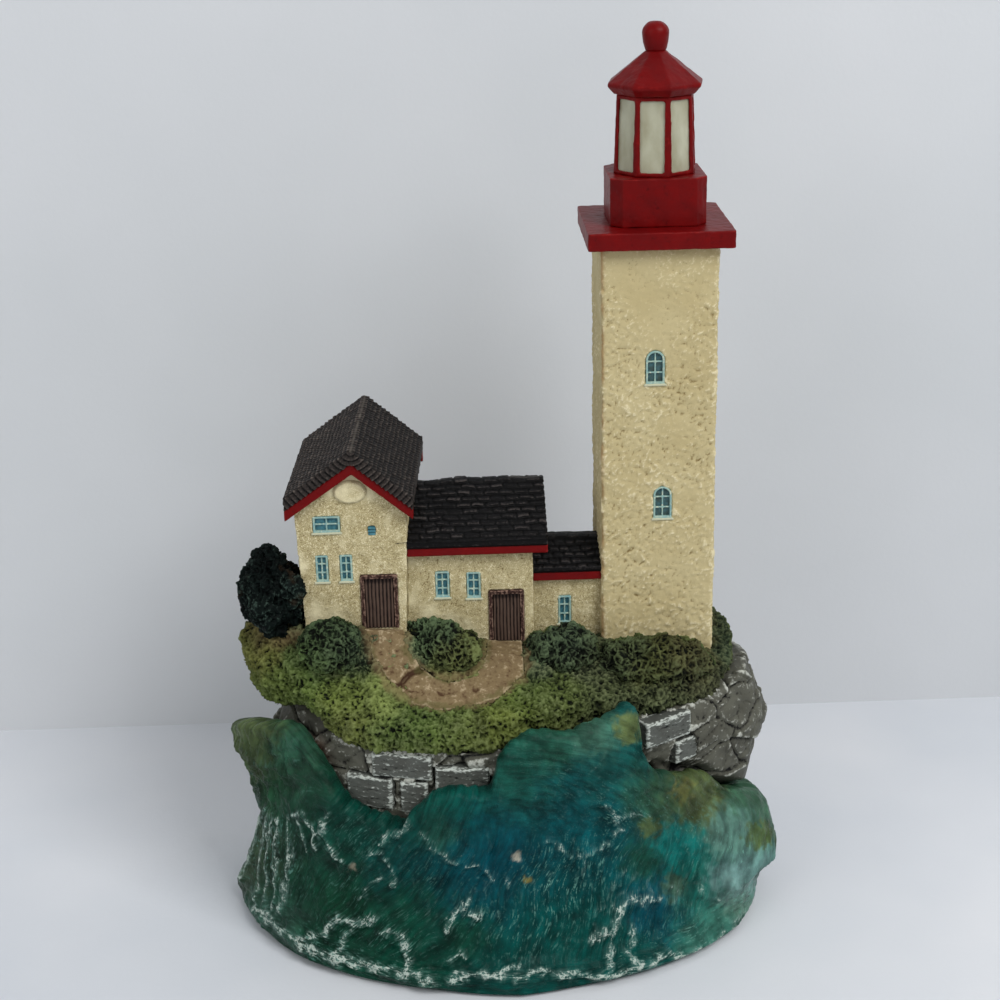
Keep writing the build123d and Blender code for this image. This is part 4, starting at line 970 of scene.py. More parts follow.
@dataclass
class Joinery:
    """Windows, doors and the vent, painted on their relief."""

    pane_voxel: float = 0.16
    frame_voxel: float = 0.11
    door_voxel: float = 0.15
    planks: int = 8
    windows: tuple[tuple[str, str], ...] = (
        ("keeper_window_frames", "keeper_window_panes"),
        ("store_window_frames", "store_window_panes"),
        ("link_window_frame", "link_window_pane"),
        ("tower_window_frames", "tower_window_panes"),
    )

    def build(self, shop: Workshop) -> None:
        """Casts every opening's pieces."""
        for frames, panes in self.windows:
            self._plain(shop, frames, self.frame_voxel, 2, 0.03, Finish.CREAM, "window_cream")
            self._plain(shop, panes, self.pane_voxel, 1, 0.02, Finish.BLUE, "window_blue")
        self._plain(shop, "keeper_vent", 0.12, 1, 0.03, Finish.BLUE, "window_blue")
        for house in ("keeper", "store"):
            self._door(shop, f"{house}_door")
            self._plain(shop, f"{house}_door_frame", self.door_voxel, 2, 0.07, Finish.DOOR_FRAME, "door_planks")

    def _plain(
        self, shop: Workshop, node: str, voxel: float, rounds: int, depth: float, finish: Finish, slot: str,
    ) -> None:
        """One node's casting, with brush marks."""
        cast = shop.cast(f"{node}_cast", [node], voxel, rounds)
        cast.relief(depth * GRAIN.layered(cast.at, (0.6, 0.6, 1.4), 2), depth * 2, 0.3)
        if finish is Finish.CREAM:
            proud = -float(cast.at[:, 1].min()) - 0.2
            cast.channel("accent", 0.8 * ease(-cast.at[:, 1], proud - 0.06, proud + 0.06))
        if node == "tower_window_panes":
            cast.channel("stain_and_shade", 0.55 + 0.5 * GRAIN.layered(cast.at, 1.5, 2))
        cast.deliver(finish, slot, [node])

    def _door(self, shop: Workshop, node: str) -> None:
        """A door of upright planks, its gaps and its top in shadow."""
        cast = shop.cast(f"{node}_cast", [node], self.door_voxel, 1)
        low, high = (np.array(corner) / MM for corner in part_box(node))
        lean = 0.12 * GRAIN.smooth(cast.at, (9.0, 9.0, 6.0))
        place = (cast.at[:, 0] - low[0]) / (high[0] - low[0]) * self.planks + lean
        gap = np.abs(place - np.round(place)) * (high[0] - low[0]) / self.planks
        groove = np.exp(-((gap / 0.17) ** 2))
        grain = GRAIN.layered(cast.at, (0.5, 0.5, 5.0), 3)
        front = ease(-cast.at[:, 1], -low[1] - 0.7, -low[1] - 0.4)
        cast.relief((0.06 * grain - 0.22 * groove) * front, 0.3)
        shade = 0.7 * ease(cast.at[:, 2], high[2] - 1.5, high[2] - 0.5)
        cast.channel("stain_and_shade", groove + shade)
        cast.deliver(Finish.PLANKS, "door_planks", [node])


@dataclass
class Lantern:
    """The gallery slab, pedestal, glazing, bars, cap and finial."""

    voxel: float = 0.22
    brush_depth: float = 0.12
    red_nodes: tuple[str, ...] = (
        "gallery_slab", "lantern_pedestal", "lantern_bars", "lantern_roof", "lantern_finial",
    )

    def build(self, shop: Workshop) -> None:
        """Casts the red pieces and the milky glazing."""
        for node in self.red_nodes:
            cast = shop.cast(f"{node}_cast", [node], self.voxel, 4)
            strokes = GRAIN.layered(cast.at, 2.2, 3)
            cast.relief(self.brush_depth * strokes, self.brush_depth * 2.5, 0.25)
            cast.deliver(Finish.RED, "red_paint", [node])
        glass = shop.cast("lantern_glazing_cast", ["lantern_glazing"], 0.3, 3)
        glass.relief(0.08 * GRAIN.layered(glass.at, 3.0, 2))
        glass.deliver(Finish.PANE, "lantern_glass", ["lantern_glazing"])


@dataclass
class Greenery:
    """Turf, bushes, the tree and the sand path."""

    turf_voxel: float = 0.39
    bush_voxel: float = 0.24
    path_edge: tuple[tuple[float, float], ...] = (
        (363, 627), (372, 650), (377, 668), (388, 686), (410, 700), (440, 707), (470, 704), (500, 694),
        (522, 676), (532, 650), (528, 640),
    )
    path_inner: tuple[tuple[float, float], ...] = (
        (409, 627), (405, 648), (414, 664), (425, 674), (440, 680), (462, 677), (478, 668), (487, 655), (488, 640),
    )
    path_crevice: tuple[tuple[float, float], ...] = ((383, 700), (391, 694), (402, 682), (410, 674), (421, 669))
    path_steps: tuple[tuple[tuple[float, float], ...], ...] = (
        ((378, 655), (390, 652), (404, 655)), ((384, 668), (397, 664), (410, 666)), ((396, 684), (408, 690), (424, 692)),
        ((436, 690), (452, 694), (474, 690)),
    )

    # Greens of the front: pixel, reach in pixels, colour, and how pale its ridges are.
    greens: tuple[tuple[float, float, float, tuple[int, int, int], float], ...] = (
        (243, 652, 20, (98, 100, 50), 0.1), (262, 632, 14, (98, 88, 56), 0.1), (286, 690, 22, (84, 98, 44), 0.2),
        (322, 640, 18, (44, 58, 36), 0.5), (346, 660, 20, (36, 48, 34), 0.7), (306, 668, 16, (80, 100, 54), 0.4),
        (300, 712, 22, (74, 92, 40), 0.3), (340, 694, 20, (98, 112, 52), 0.2), (345, 722, 22, (92, 100, 48), 0.3),
        (384, 704, 20, (106, 118, 62), 0.2), (402, 735, 24, (68, 88, 42), 0.3), (432, 722, 24, (78, 96, 44), 0.3),
        (425, 638, 18, (62, 78, 54), 0.7), (448, 664, 18, (84, 88, 48), 0.4), (560, 645, 20, (32, 42, 32), 0.7),
        (540, 662, 16, (50, 60, 42), 0.5), (592, 662, 18, (46, 52, 34), 0.4), (622, 655, 18, (60, 68, 44), 0.4),
        (652, 672, 22, (70, 72, 38), 0.2), (692, 662, 20, (68, 64, 38), 0.2), (706, 690, 20, (60, 62, 44), 0.2),
        (735, 655, 18, (44, 56, 40), 0.2), (520, 700, 24, (76, 92, 42), 0.3), (562, 702, 20, (76, 88, 44), 0.4),
        (508, 722, 20, (98, 108, 46), 0.2), (600, 716, 24, (60, 68, 40), 0.3), (560, 732, 20, (72, 80, 38), 0.3),
        (642, 702, 22, (54, 62, 40), 0.4), (672, 702, 20, (62, 68, 46), 0.3), (462, 742, 26, (80, 90, 44), 0.3),
        (400, 762, 24, (84, 90, 44), 0.3), (500, 746, 22, (70, 78, 34), 0.2), (322, 745, 22, (86, 90, 50), 0.3),
    )
    hidden_greens: tuple[tuple[int, int, int], ...] = ((64, 76, 38), (92, 100, 50), (44, 56, 34))

    def _paint(self, cast: Casting, places: Array, facing: Array) -> None:
        """Paints the greens and how dusty their ridges are.

        Args:
            cast: the piece.
            places: its points before their relief.
            facing: their normals before their relief.
        """
        pixels = EYE.pixels(places)
        sight = np.array(EYE.place) - places
        sight /= np.linalg.norm(sight, axis=1, keepdims=True)
        seen = ease((facing * sight).sum(axis=1), -0.2, 0.15)
        pixels += np.stack([GRAIN.layered(places + 15 * k, 4.0, 3) for k in (5, 6)], axis=1) * 14.0
        total = np.zeros((len(places), 4))
        weight = np.full(len(places), 1e-6)
        for across, down, reach, colour, pale in self.greens:
            away = ((pixels - (across, down)) ** 2).sum(axis=1)
            share = np.exp(-away / reach**2) + 1e-5
            total += share[:, None] * np.array((*paint_colour(*colour), pale))
            weight += share
        front = total / weight[:, None]
        plain, light, dark = (np.array((*paint_colour(*colour), 0.3)) for colour in self.hidden_greens)
        drift = GRAIN.layered(places + 45, 13.0, 3)[:, None]
        behind = plain + (light - plain) * ease(drift, 0.05, 0.4) + (dark - plain) * ease(-drift, 0.05, 0.4)
        mixed = front * seen[:, None] + behind * (1 - seen[:, None])
        patchy = 0.8 + 0.6 * GRAIN.layered(places + 88, 3.2, 3)
        cast.vectors("tint", mixed[:, :3] * np.clip(patchy, 0.5, 1.2)[:, None])
        cast.channel("dust", 0.1 + 0.6 * mixed[:, 3])

    def _moss(self, cast: Casting, size: float, depth: float) -> tuple[Array, Array]:
        """Crumpled moss: flakes round deep pores.

        Args:
            cast: the piece.
            size: size of a flake in millimetres.
            depth: depth of the pores in millimetres.

        Returns:
            Heights in millimetres, and the same as paint from 0 to 1.
        """
        bend = np.stack([GRAIN.smooth(cast.at + 30 * k, size * 1.3) for k in (1, 2, 3)], axis=1)
        spot = cast.at + 0.45 * size * bend
        near, after, lot = GRAIN.cells(spot, size)
        wall = ease(-(after - near), -0.42, -0.02)
        small, beyond, _ = GRAIN.cells(spot + 91, size * 0.55)
        fine = ease(-(beyond - small), -0.4, 0.0)
        swell = GRAIN.layered(cast.at + 70, size * 4.5, 3)
        pore = ease(-GRAIN.cells(spot + 47, (size * 0.62, size * 0.62, size * 0.9))[0], -0.36, -0.16)
        level = 0.5 * wall + 0.3 * fine + 0.2 - 0.5 * pore + 0.22 * (lot - 0.5)
        paint = 0.24 + 0.66 * level + 0.22 * swell
        return depth * (1.6 * level - 0.9) + depth * 1.1 * swell, paint

    def _leaf(self, shop: Workshop, node: str, size: float, lump: float, finish: Finish, slot: str) -> None:
        """A bush or the tree, clumped and mossy."""
        cast = shop.cast(f"{node}_cast", [node], self.bush_voxel, 6)
        places, facing = cast.at.copy(), cast.facing.copy()
        if finish is Finish.TREE:
            self._taper(cast)
        warp = np.stack([GRAIN.smooth(cast.at + 60 * k, 3.0) for k in (1, 2, 3)], axis=1)
        clumps = GRAIN.cells(cast.at + 1.8 * warp, size * 3.4)[0]
        cast.press(lump * (0.6 - clumps) + 1.3 * lump * GRAIN.layered(cast.at + 19, size * 3.0, 3))
        heights, paint = self._moss(cast, size, 0.65)
        cast.press(heights)
        cast.channel("relief", paint + 0.3 * (0.5 - clumps))
        if finish is Finish.TREE:
            twigs = ease(GRAIN.layered(places + 7, 4.0, 2) + 0.5 * ease(places[:, 0], -47.0, -43.0), 0.35, 0.7)
            cast.channel("stain_and_shade", 0.4 * twigs)
        else:
            self._paint(cast, places, facing)
        cast.deliver(finish, slot, [node])

    def _taper(self, cast: Casting) -> None:
        """Draws the tree in towards its top, and out towards its foot."""
        low, high = cast.at.min(axis=0), cast.at.max(axis=0)
        middle = (low + high) / 2
        share = 0.42 * ease(cast.at[:, 2], middle[2] - 3.0, high[2] + 2.0)
        share -= 0.4 * ease(-cast.at[:, 2], -middle[2] + 1.0, -low[2] - 3.0)
        steps = (middle - cast.at) * share[:, None]
        front = ease(middle[1] - cast.at[:, 1], -1.0, 3.0)
        steps[:, 2] = 2.6 * front * ease(-cast.at[:, 2], -middle[2] + 3.0, -low[2] - 1.0)
        cast.shift(steps)

    def build(self, shop: Workshop) -> None:
        """Casts the plants and the path."""
        turf = shop.cast("turf_cap_cast", ["turf_cap"], self.turf_voxel, 8)
        places, facing = turf.at.copy(), turf.facing.copy()
        turf.press(1.5 * GRAIN.layered(turf.at + 150, 5.0, 3))
        heights, paint = self._moss(turf, 1.35, 0.75)
        turf.press(heights)
        turf.channel("relief", paint)
        pixels = EYE.pixels(places)
        front = ease(-places[:, 1], -8.0, 0.0) * ease(facing[:, 2], 0.1, 0.5)
        edge = np.minimum(near_line(pixels, self.path_edge), near_line(pixels, self.path_inner))
        bare = front * ease(-edge + 5.0 * GRAIN.layered(places, 2.5, 3), -8.0, -1.0)
        soil = np.exp(-((near_line(pixels, ((270, 632), (298, 636))) / 8.0) ** 2)) * front
        turf.channel("accent", 0.55 * bare + 0.5 * soil)
        self._paint(turf, places, facing)
        turf.deliver(Finish.MOSS, "turf", ["turf_cap"])
        for node in ("bush_door", "bush_mound", "hedge_link", "hedge_tower"):
            self._leaf(shop, node, 1.6, 1.5, Finish.BUSH, "foliage")
        self._leaf(shop, "shrub_tree", 1.7, 1.8, Finish.TREE, "tree_foliage")
        self._path(shop)

    def _path(self, shop: Workshop) -> None:
        """The trodden sand, with worn steps, a crevice and moss creeping over its edges."""
        cast = shop.cast("sand_path_cast", ["sand_path"], 0.26, 4)
        pixels = EYE.pixels(cast.at)
        crevice = np.exp(-((near_line(pixels, self.path_crevice) / 3.0) ** 2))
        sway = np.stack([GRAIN.layered(cast.at + 8 * k, 2.5, 2) for k in (1, 2)], axis=1) * 5.0
        steps = sum(np.exp(-((near_line(pixels + sway, line) / 2.2) ** 2)) for line in self.path_steps)
        steps *= ease(GRAIN.smooth(cast.at + 3, 2.6), -0.3, 0.3)
        rough = GRAIN.layered(cast.at, 2.6, 4)
        top = ease(cast.facing[:, 2], 0.2, 0.6)
        cast.relief(top * (0.34 * rough - 0.7 * crevice - 0.3 * steps) - 0.1, 0.6, 0.3)
        edge = np.minimum(near_line(pixels, self.path_edge), near_line(pixels, self.path_inner))
        moss = ease(-edge + 6.0 * GRAIN.layered(cast.at + 6, 1.6, 3), -5.0, 0.0)
        cast.channel("accent", 0.5 * moss)
        cast.channel("stain_and_shade", np.clip(crevice + 0.2 * steps, 0, 1) * 0.7)
        cast.deliver(Finish.SAND, "sand", ["sand_path"])


@dataclass
class Stonework:
    """The island's rock and its dressed quay stones."""

    rock_voxel: float = 0.54
    stone_voxel: float = 0.24

    def build(self, shop: Workshop) -> None:
        """Casts the rock and the stones."""
        rock = shop.cast("island_rock_cast", ["island_rock"], self.rock_voxel, 4)
        bend = np.stack([GRAIN.smooth(rock.at + 20 * k, 9.0) for k in (1, 2, 3)], axis=1)
        near, after, lot = GRAIN.cells(rock.at + 2.2 * bend, (15.0, 15.0, 9.0))
        crack = ease(after - near, 0.0, 0.07)
        slabs = GRAIN.cells(rock.at + 3.0 * bend + 40, (7.0, 7.0, 4.0))
        split = ease(slabs[1] - slabs[0], 0.0, 0.14)
        chips = GRAIN.ridged(rock.at, (4.0, 4.0, 2.4), 3)
        heights = 0.9 * (crack - 1) + 1.3 * (lot - 0.5) + 0.7 * (slabs[2] - 0.5) + 0.3 * (split - 1) + 0.7 * (chips - 0.5)
        out = ease(rock.at[:, 2], 34.0, 38.0)
        rock.press(heights * out)
        rock.channel("relief", 0.5 + 0.34 * (crack - 1) + 0.14 * (split - 1) + 0.3 * (chips - 0.5) + 0.8 * rock.bulge(6))
        pixels = EYE.pixels(rock.at)
        hollow = np.exp(-((near_line(pixels, ((314, 748), (320, 768))) / 9.0) ** 2))
        rock.channel("accent", hollow * ease(-rock.at[:, 1], 0.0, 5.0))
        rock.deliver(Finish.GREY_ROCK, "rock", ["island_rock"])
        for side in ("front", "right"):
            node = f"quay_stones_{side}"
            cast = shop.cast(f"{node}_cast", [node], self.stone_voxel, 3)
            chips = GRAIN.layered(cast.at, (3.0, 3.0, 1.0), 3)
            cast.relief(0.2 * chips, 0.8, 0.6)
            cast.deliver(Finish.QUAY_STONE, "rock", [node])


@dataclass
class Wave:
    """The breaking wave that carries the island, and the felt under it."""

    foot: tuple[float, float] = (63.4, 45.5)
    foot_height: float = 1.0
    neck: tuple[float, float] = (57.2, 39.0)
    neck_height: float = 33.0
    crest: tuple[float, float] = (59.0, 37.5)
    crest_height: float = 65.0
    pocket: tuple[float, float] = (53.4, 32.4)
    pocket_floor: float = 22.0
    lip: float = 1.6
    front_step: float = 0.34
    back_step: float = 0.9
    rows: int = 138
    lip_rows: int = 10
    inner_rows: int = 6
    billow: float = 1.0
    ribbing: float = 0.75
    crust: float = 0.45
    fold: float = 0.9
    crest_line: tuple[tuple[float, float], ...] = (
        (0, 0.40), (12, 0.37), (25, 0.38), (45, 0.47), (62, 0.53), (80, 0.46), (96, 0.50), (112, 0.56),
        (130, 0.50), (148, 0.55), (164, 0.66), (180, 0.75), (190, 0.80), (198, 0.84), (206, 0.86),
        (212, 0.885), (215, 0.89), (218.2, 0.865), (221, 0.83), (223.5, 0.80), (226, 0.755), (229, 0.70),
        (232, 0.652), (238, 0.622), (244, 0.603), (248, 0.59), (251, 0.64), (254.7, 0.71), (259, 0.735),
        (266, 0.727), (269, 0.745), (270.8, 0.845), (273.3, 0.895), (278, 0.938), (282, 0.948),
        (286.6, 0.918), (290.5, 0.932), (295.3, 0.947), (299, 0.968), (302.6, 1.0), (303.8, 0.92),
        (305, 0.83), (307.3, 0.755), (310.2, 0.71), (320, 0.66), (329, 0.637), (336.4, 0.555), (343, 0.50),
        (350, 0.455),
    )
    foot_plan: tuple[tuple[float, float], ...] = (
        (0, 1.015), (160, 1.0), (183, 0.99), (193, 0.972), (204, 0.958), (219, 0.97), (237, 0.977),
        (249, 0.985), (259, 1.0), (274, 1.045), (285, 1.022), (308, 1.025), (330, 1.032), (347, 1.022),
    )
    flare: tuple[tuple[float, float], ...] = ((0, 0), (0.1, 0.05), (0.25, 0.38), (0.5, 0.72), (0.75, 0.93), (1, 1))
    lobe: tuple[float, float, float] = (9.6, 353.0, 42.0)
    lobe_profile: tuple[tuple[float, float], ...] = (
        (0.0, 0.0), (0.15, 0.07), (0.27, 0.45), (0.38, 0.92), (0.46, 1.0), (0.66, 0.97), (0.79, 0.78),
        (0.9, 0.38), (1.0, 0.0),
    )
    curl: tuple[float, float, float] = (3.8, 186.0, 34.0)
    curl_profile: tuple[tuple[float, float], ...] = (
        (0.0, 0.0), (0.2, -0.1), (0.31, -0.3), (0.4, -0.53), (0.44, -0.1), (0.49, 0.22), (0.62, 0.18),
        (0.66, 0.72), (0.71, 1.0), (1.0, 1.0),
    )
    # Lines of foam on the front, in pixels of the photograph, with their half width and strength.
    foam_lines: tuple[tuple[float, float, tuple[tuple[float, float], ...]], ...] = (
        (1.1, 0.9, ((268, 808), (260, 834), (253, 862), (247, 880))),
        (1.1, 0.9, ((272, 810), (266, 840), (262, 878), (258, 900))),
        (1.1, 0.9, ((276, 812), (273, 845), (270, 880), (266, 904))),
        (1.2, 1.0, ((282, 816), (281, 850), (279, 884), (275, 908))),
        (1.0, 0.8, ((290, 814), (291, 834), (290, 862))),
        (1.0, 0.8, ((300, 818), (305, 836), (308, 850))),
        (2.6, 0.9, ((296, 813), (308, 815), (316, 826), (319, 842))),
        (2.2, 0.8, ((330, 813), (324, 830), (331, 842), (339, 855), (344, 859))),
        (2.4, 0.8, ((296, 845), (294, 863), (291, 882), (286, 899), (279, 912))),
        (3.4, 1.0, ((258, 908), (270, 916), (279, 926), (287, 933), (300, 939), (310, 947), (327, 954))),
        (3.4, 1.0, ((327, 954), (342, 958), (362, 964), (383, 967), (404, 970), (419, 975), (434, 983))),
        (3.2, 1.0, ((300, 939), (319, 935), (331, 926), (342, 918), (350, 922), (362, 923), (375, 916))),
        (2.8, 0.9, ((384, 929), (392, 931), (402, 937), (407, 945), (409, 956), (411, 968))),
        (2.2, 0.8, ((350, 930), (344, 943), (339, 951))),
        (3.0, 1.0, ((450, 926), (455, 912), (467, 901), (470, 896))),
        (2.4, 0.9, ((467, 910), (480, 912), (474, 920))),
        (2.8, 1.0, ((450, 980), (459, 974), (476, 975), (495, 975), (507, 970), (520, 966))),
        (2.2, 0.8, ((451, 960), (459, 951), (464, 956))),
        (2.0, 0.8, ((383, 842), (388, 834), (404, 832), (411, 826))),
        (2.0, 0.8, ((371, 853), (384, 851))),
        (2.0, 0.8, ((388, 857), (392, 868), (394, 884))),
        (2.0, 0.7, ((421, 834), (434, 847), (450, 857), (457, 861))),
        (2.0, 0.7, ((467, 864), (478, 864))),
        (1.8, 0.7, ((486, 870), (495, 880))),
        (1.6, 0.6, ((507, 876), (509, 886))),
        (1.6, 0.6, ((360, 897), (372, 884), (383, 876))),
        (2.0, 0.7, ((605, 805), (614, 816), (624, 812), (647, 814))),
        (2.0, 0.7, ((612, 818), (620, 828), (612, 833))),
        (1.8, 0.6, ((544, 841), (557, 843), (570, 853), (586, 851), (597, 847), (607, 843))),
        (1.5, 0.5, ((582, 856), (580, 874))),
        (3.4, 1.0, ((654, 897), (635, 897), (624, 902), (612, 916), (609, 931), (595, 937), (589, 941))),
        (2.6, 0.9, ((609, 931), (610, 946), (607, 965))),
        (2.6, 0.9, ((632, 929), (628, 948), (632, 967))),
        (1.8, 0.7, ((643, 885), (649, 893))),
        (1.8, 0.6, ((668, 885), (677, 893), (672, 902))),
        (2.2, 0.8, ((698, 885), (699, 890))),
        (2.2, 0.8, ((714, 895), (716, 900))),
        (3.0, 1.0, ((490, 975), (509, 977), (528, 975), (547, 971), (561, 973), (576, 973))),
        (3.2, 1.0, ((576, 973), (597, 975), (620, 971), (635, 965), (653, 960), (662, 954), (677, 956))),
        (1.5, 0.45, ((624, 870), (610, 892), (593, 916))),
        (1.4, 0.4, ((636, 872), (620, 892), (604, 912))),
        (1.4, 0.4, ((652, 876), (640, 886), (628, 896))),
        (1.6, 0.5, ((727, 879), (738, 888), (742, 900))),
        (2.4, 0.7, ((677, 956), (705, 944), (728, 928), (742, 912))),
    )
    # Colours of the resin on the front: pixel, reach in pixels and colour. The pale blue ones at the right lobe, near
    # pixel 730 to 745 across and 880 to 900 down, are painted light shining through the thin resin.
    clouds: tuple[tuple[float, float, float, tuple[int, int, int]], ...] = (
        (500, 868, 54, (0, 62, 74)), (600, 850, 44, (0, 68, 72)), (560, 920, 50, (0, 62, 56)),
        (420, 860, 40, (0, 60, 62)), (335, 898, 42, (6, 50, 32)), (304, 856, 34, (18, 58, 44)),
        (262, 852, 26, (56, 74, 54)), (262, 762, 30, (48, 66, 40)), (288, 752, 16, (40, 84, 66)), (242, 770, 13, (70, 84, 52)), (272, 790, 14, (26, 66, 44)), (246, 738, 18, (84, 98, 62)),
        (300, 796, 26, (24, 60, 44)), (350, 832, 34, (6, 56, 46)), (400, 822, 28, (14, 66, 54)),
        (450, 808, 30, (8, 74, 62)), (520, 780, 36, (22, 74, 62)), (548, 742, 18, (34, 82, 66)),
        (594, 740, 15, (64, 106, 88)), (627, 730, 11, (94, 108, 64)), (612, 772, 30, (16, 76, 72)),
        (655, 798, 24, (40, 74, 54)), (690, 795, 20, (76, 88, 52)), (648, 826, 9, (70, 84, 48)),
        (681, 789, 9, (100, 100, 54)), (640, 858, 14, (22, 72, 56)), (672, 888, 12, (58, 82, 62)),
        (674, 842, 16, (10, 104, 98)), (730, 884, 14, (112, 146, 142)), (733, 832, 16, (84, 122, 110)),
        (757, 835, 10, (74, 92, 52)), (528, 881, 3.6, (112, 104, 56)), (655, 908, 22, (0, 66, 82)),
        (517, 856, 3.8, (142, 138, 124)), (354, 867, 3.2, (136, 130, 112)), (440, 832, 15, (34, 72, 56)),
        (404, 905, 22, (8, 58, 42)), (467, 935, 18, (12, 62, 44)), (700, 905, 34, (14, 84, 74)),
        (620, 950, 46, (4, 68, 62)), (752, 795, 18, (52, 88, 66)), (745, 880, 16, (96, 134, 128)), (500, 960, 48, (2, 60, 54)), (420, 950, 46, (6, 58, 44)),
        (345, 945, 30, (8, 52, 38)), (280, 918, 22, (44, 78, 64)), (712, 930, 24, (58, 108, 94)),
        (737, 902, 14, (92, 128, 110)), (470, 840, 30, (0, 62, 70)), (560, 812, 34, (2, 64, 68)),
    )
    # How far strokes lean to the right as they rise, at places across the front in pixels.
    stroke_lean: tuple[tuple[float, float], ...] = (
        (250, 0.02), (285, 0.1), (330, 0.75), (390, 0.8), (450, 0.5), (500, 0.25), (590, 0.28), (660, 0.5), (750, 0.6),
    )
    # The ellipse, in pixels, that the arcs of the crest and the rim follow: middle and half sizes.
    arc_middle: tuple[float, float] = (500.0, 845.0)
    arc_reach: tuple[float, float] = (257.0, 138.0)
    # The knobbly lobe at the left of the crest, in pixels: middle and half sizes.
    left_lobe: tuple[float, float] = (262.0, 765.0)
    left_reach: tuple[float, float] = (44.0, 40.0)
    # Where the dry brush has passed on the front: pixel, reach in pixels and strength.
    brushing: tuple[tuple[float, float, float, float], ...] = (
        (268, 845, 28, 0.85), (284, 888, 26, 0.75), (345, 885, 40, 0.3), (360, 832, 30, 0.4), (440, 868, 36, 0.3),
        (560, 880, 42, 0.85), (605, 855, 34, 0.7), (530, 932, 40, 0.5), (480, 915, 28, 0.45), (622, 815, 34, 0.5),
        (560, 775, 36, 0.16), (700, 842, 34, 0.5), (738, 852, 24, 0.85), (690, 925, 38, 0.45), (742, 892, 22, 0.8),
        (300, 772, 30, 0.25), (640, 945, 44, 0.45), (400, 955, 50, 0.35), (330, 950, 40, 0.5), (262, 762, 26, 0.2),
    )
    hidden_tints: tuple[tuple[int, int, int], ...] = ((10, 68, 66), (30, 74, 50), (62, 96, 66))

    def _table(self, rows: Sequence[tuple[float, float]], values: Array, period: float | None = None) -> Array:
        """Reads a two-column table at values, closed round where it has a period."""
        places, results = zip(*rows)
        return np.interp(values, places, results, period=period)

    def _crest(self, angle: Array) -> Array:
        """Height of the crest, with its ragged edge."""
        height = self.crest_height * self._table(self.crest_line, angle, 360)
        turn = np.radians(angle)
        spot = np.stack((self.crest[0] * np.cos(turn), self.crest[1] * np.sin(turn), 0 * turn), axis=1)
        return height + 0.9 * GRAIN.layered(spot, 4.0, 3, 0.65) + 0.9 * GRAIN.layered(spot + 9, 1.9, 2)

    def _outside(self, angle: Array, height: Array) -> Array:
        """Points on the wave's outside, before its relief."""
        rise = np.clip((height - self.foot_height) / (self.neck_height - self.foot_height), 0, 1)
        flare = self._table(self.flare, rise)
        above = np.clip((height - self.neck_height) / (self.crest_height - self.neck_height), 0, 1)
        plan = 1 + (self._table(self.foot_plan, angle, 360) - 1) * (1 - flare)
        reach = np.zeros(len(angle))
        for (size, middle, spread), profile, tall in (
            (self.lobe, self.lobe_profile, self.neck_height), (self.curl, self.curl_profile, self.crest_height),
        ):
            turn = np.abs((angle - middle + 180) % 360 - 180)
            reach += size * (1 + np.cos(np.pi * np.minimum(turn / spread, 1))) / 2 * self._table(profile, height / tall)
        sides = []
        for axis, wave in ((0, np.cos(np.radians(angle))), (1, np.sin(np.radians(angle)))):
            low = self.foot[axis] + flare * (self.neck[axis] - self.foot[axis])
            half = low + above * (self.crest[axis] - self.neck[axis])
            sides.append((half * plan + reach) * wave)
        return np.stack((*sides, height), axis=1)

    def _grid(self, coarse: float) -> tuple[bpy.types.Mesh, Array, Array]:
        """The bare wave: foot, outside, crest, pocket wall and floor.

        Args:
            coarse: how much coarser than usual its faces are.

        Returns:
            The mesh, each point's angle in degrees, and 1 for outside points, falling to 0 over the crest.
        """
        around = math.pi * math.sqrt((self.crest[0] ** 2 + self.crest[1] ** 2) / 2)
        back = np.linspace(0, 180, int(around / (self.back_step * coarse)), endpoint=False)
        front = np.linspace(180, 360, int(around / (self.front_step * coarse)), endpoint=False)
        angle = np.concatenate((back, front))
        top = self._crest(angle)
        rows, weights = [], []
        for share in np.linspace(0, 1, int(self.rows / coarse)):
            rows.append(self._outside(angle, self.foot_height + share * (top - self.lip - self.foot_height)))
            weights.append(1.0)
        turn = np.radians(angle)
        inside = np.stack((self.pocket[0] * np.cos(turn), self.pocket[1] * np.sin(turn), 0 * turn), axis=1)
        outer = rows[-1]
        for share in np.linspace(0, 1, self.lip_rows + 1)[1:]:
            swing = math.pi * share
            blend = (1 - math.cos(swing)) / 2
            row = outer * (1 - blend) + inside * blend
            row[:, 2] = top - self.lip + self.lip * math.sin(swing)
            rows.append(row)
            weights.append(1 - blend)
        for share in np.linspace(0, 1, self.inner_rows)[1:]:
            row = inside.copy()
            row[:, 2] = (top - self.lip) * (1 - share) + self.pocket_floor * share
            rows.append(row)
            weights.append(0.0)
        count, tiers = len(angle), len(rows)
        index = np.arange(count * tiers).reshape(tiers, count)
        after = np.roll(index, -1, axis=1)
        faces = np.stack((index[:-1], after[:-1], after[1:], index[1:]), axis=-1).reshape(-1, 4).tolist()
        floor, base = count * tiers, count * tiers + 1
        faces += [(int(a), int(b), floor) for a, b in zip(index[-1], after[-1])]
        faces += [(int(b), int(a), base) for a, b in zip(index[0], after[0])]
        points = np.concatenate((*rows, [[0, 0, self.pocket_floor], [0, 0, self.foot_height]]))
        mesh = bpy.data.meshes.new("sea_casting_cast")
        mesh.from_pydata((points * MM).tolist(), [], faces)
        mesh.update()
        spread = np.concatenate((np.tile(angle, tiers), [0, 0]))
        return mesh, spread, np.concatenate((np.repeat(weights, count), [0, 0]))

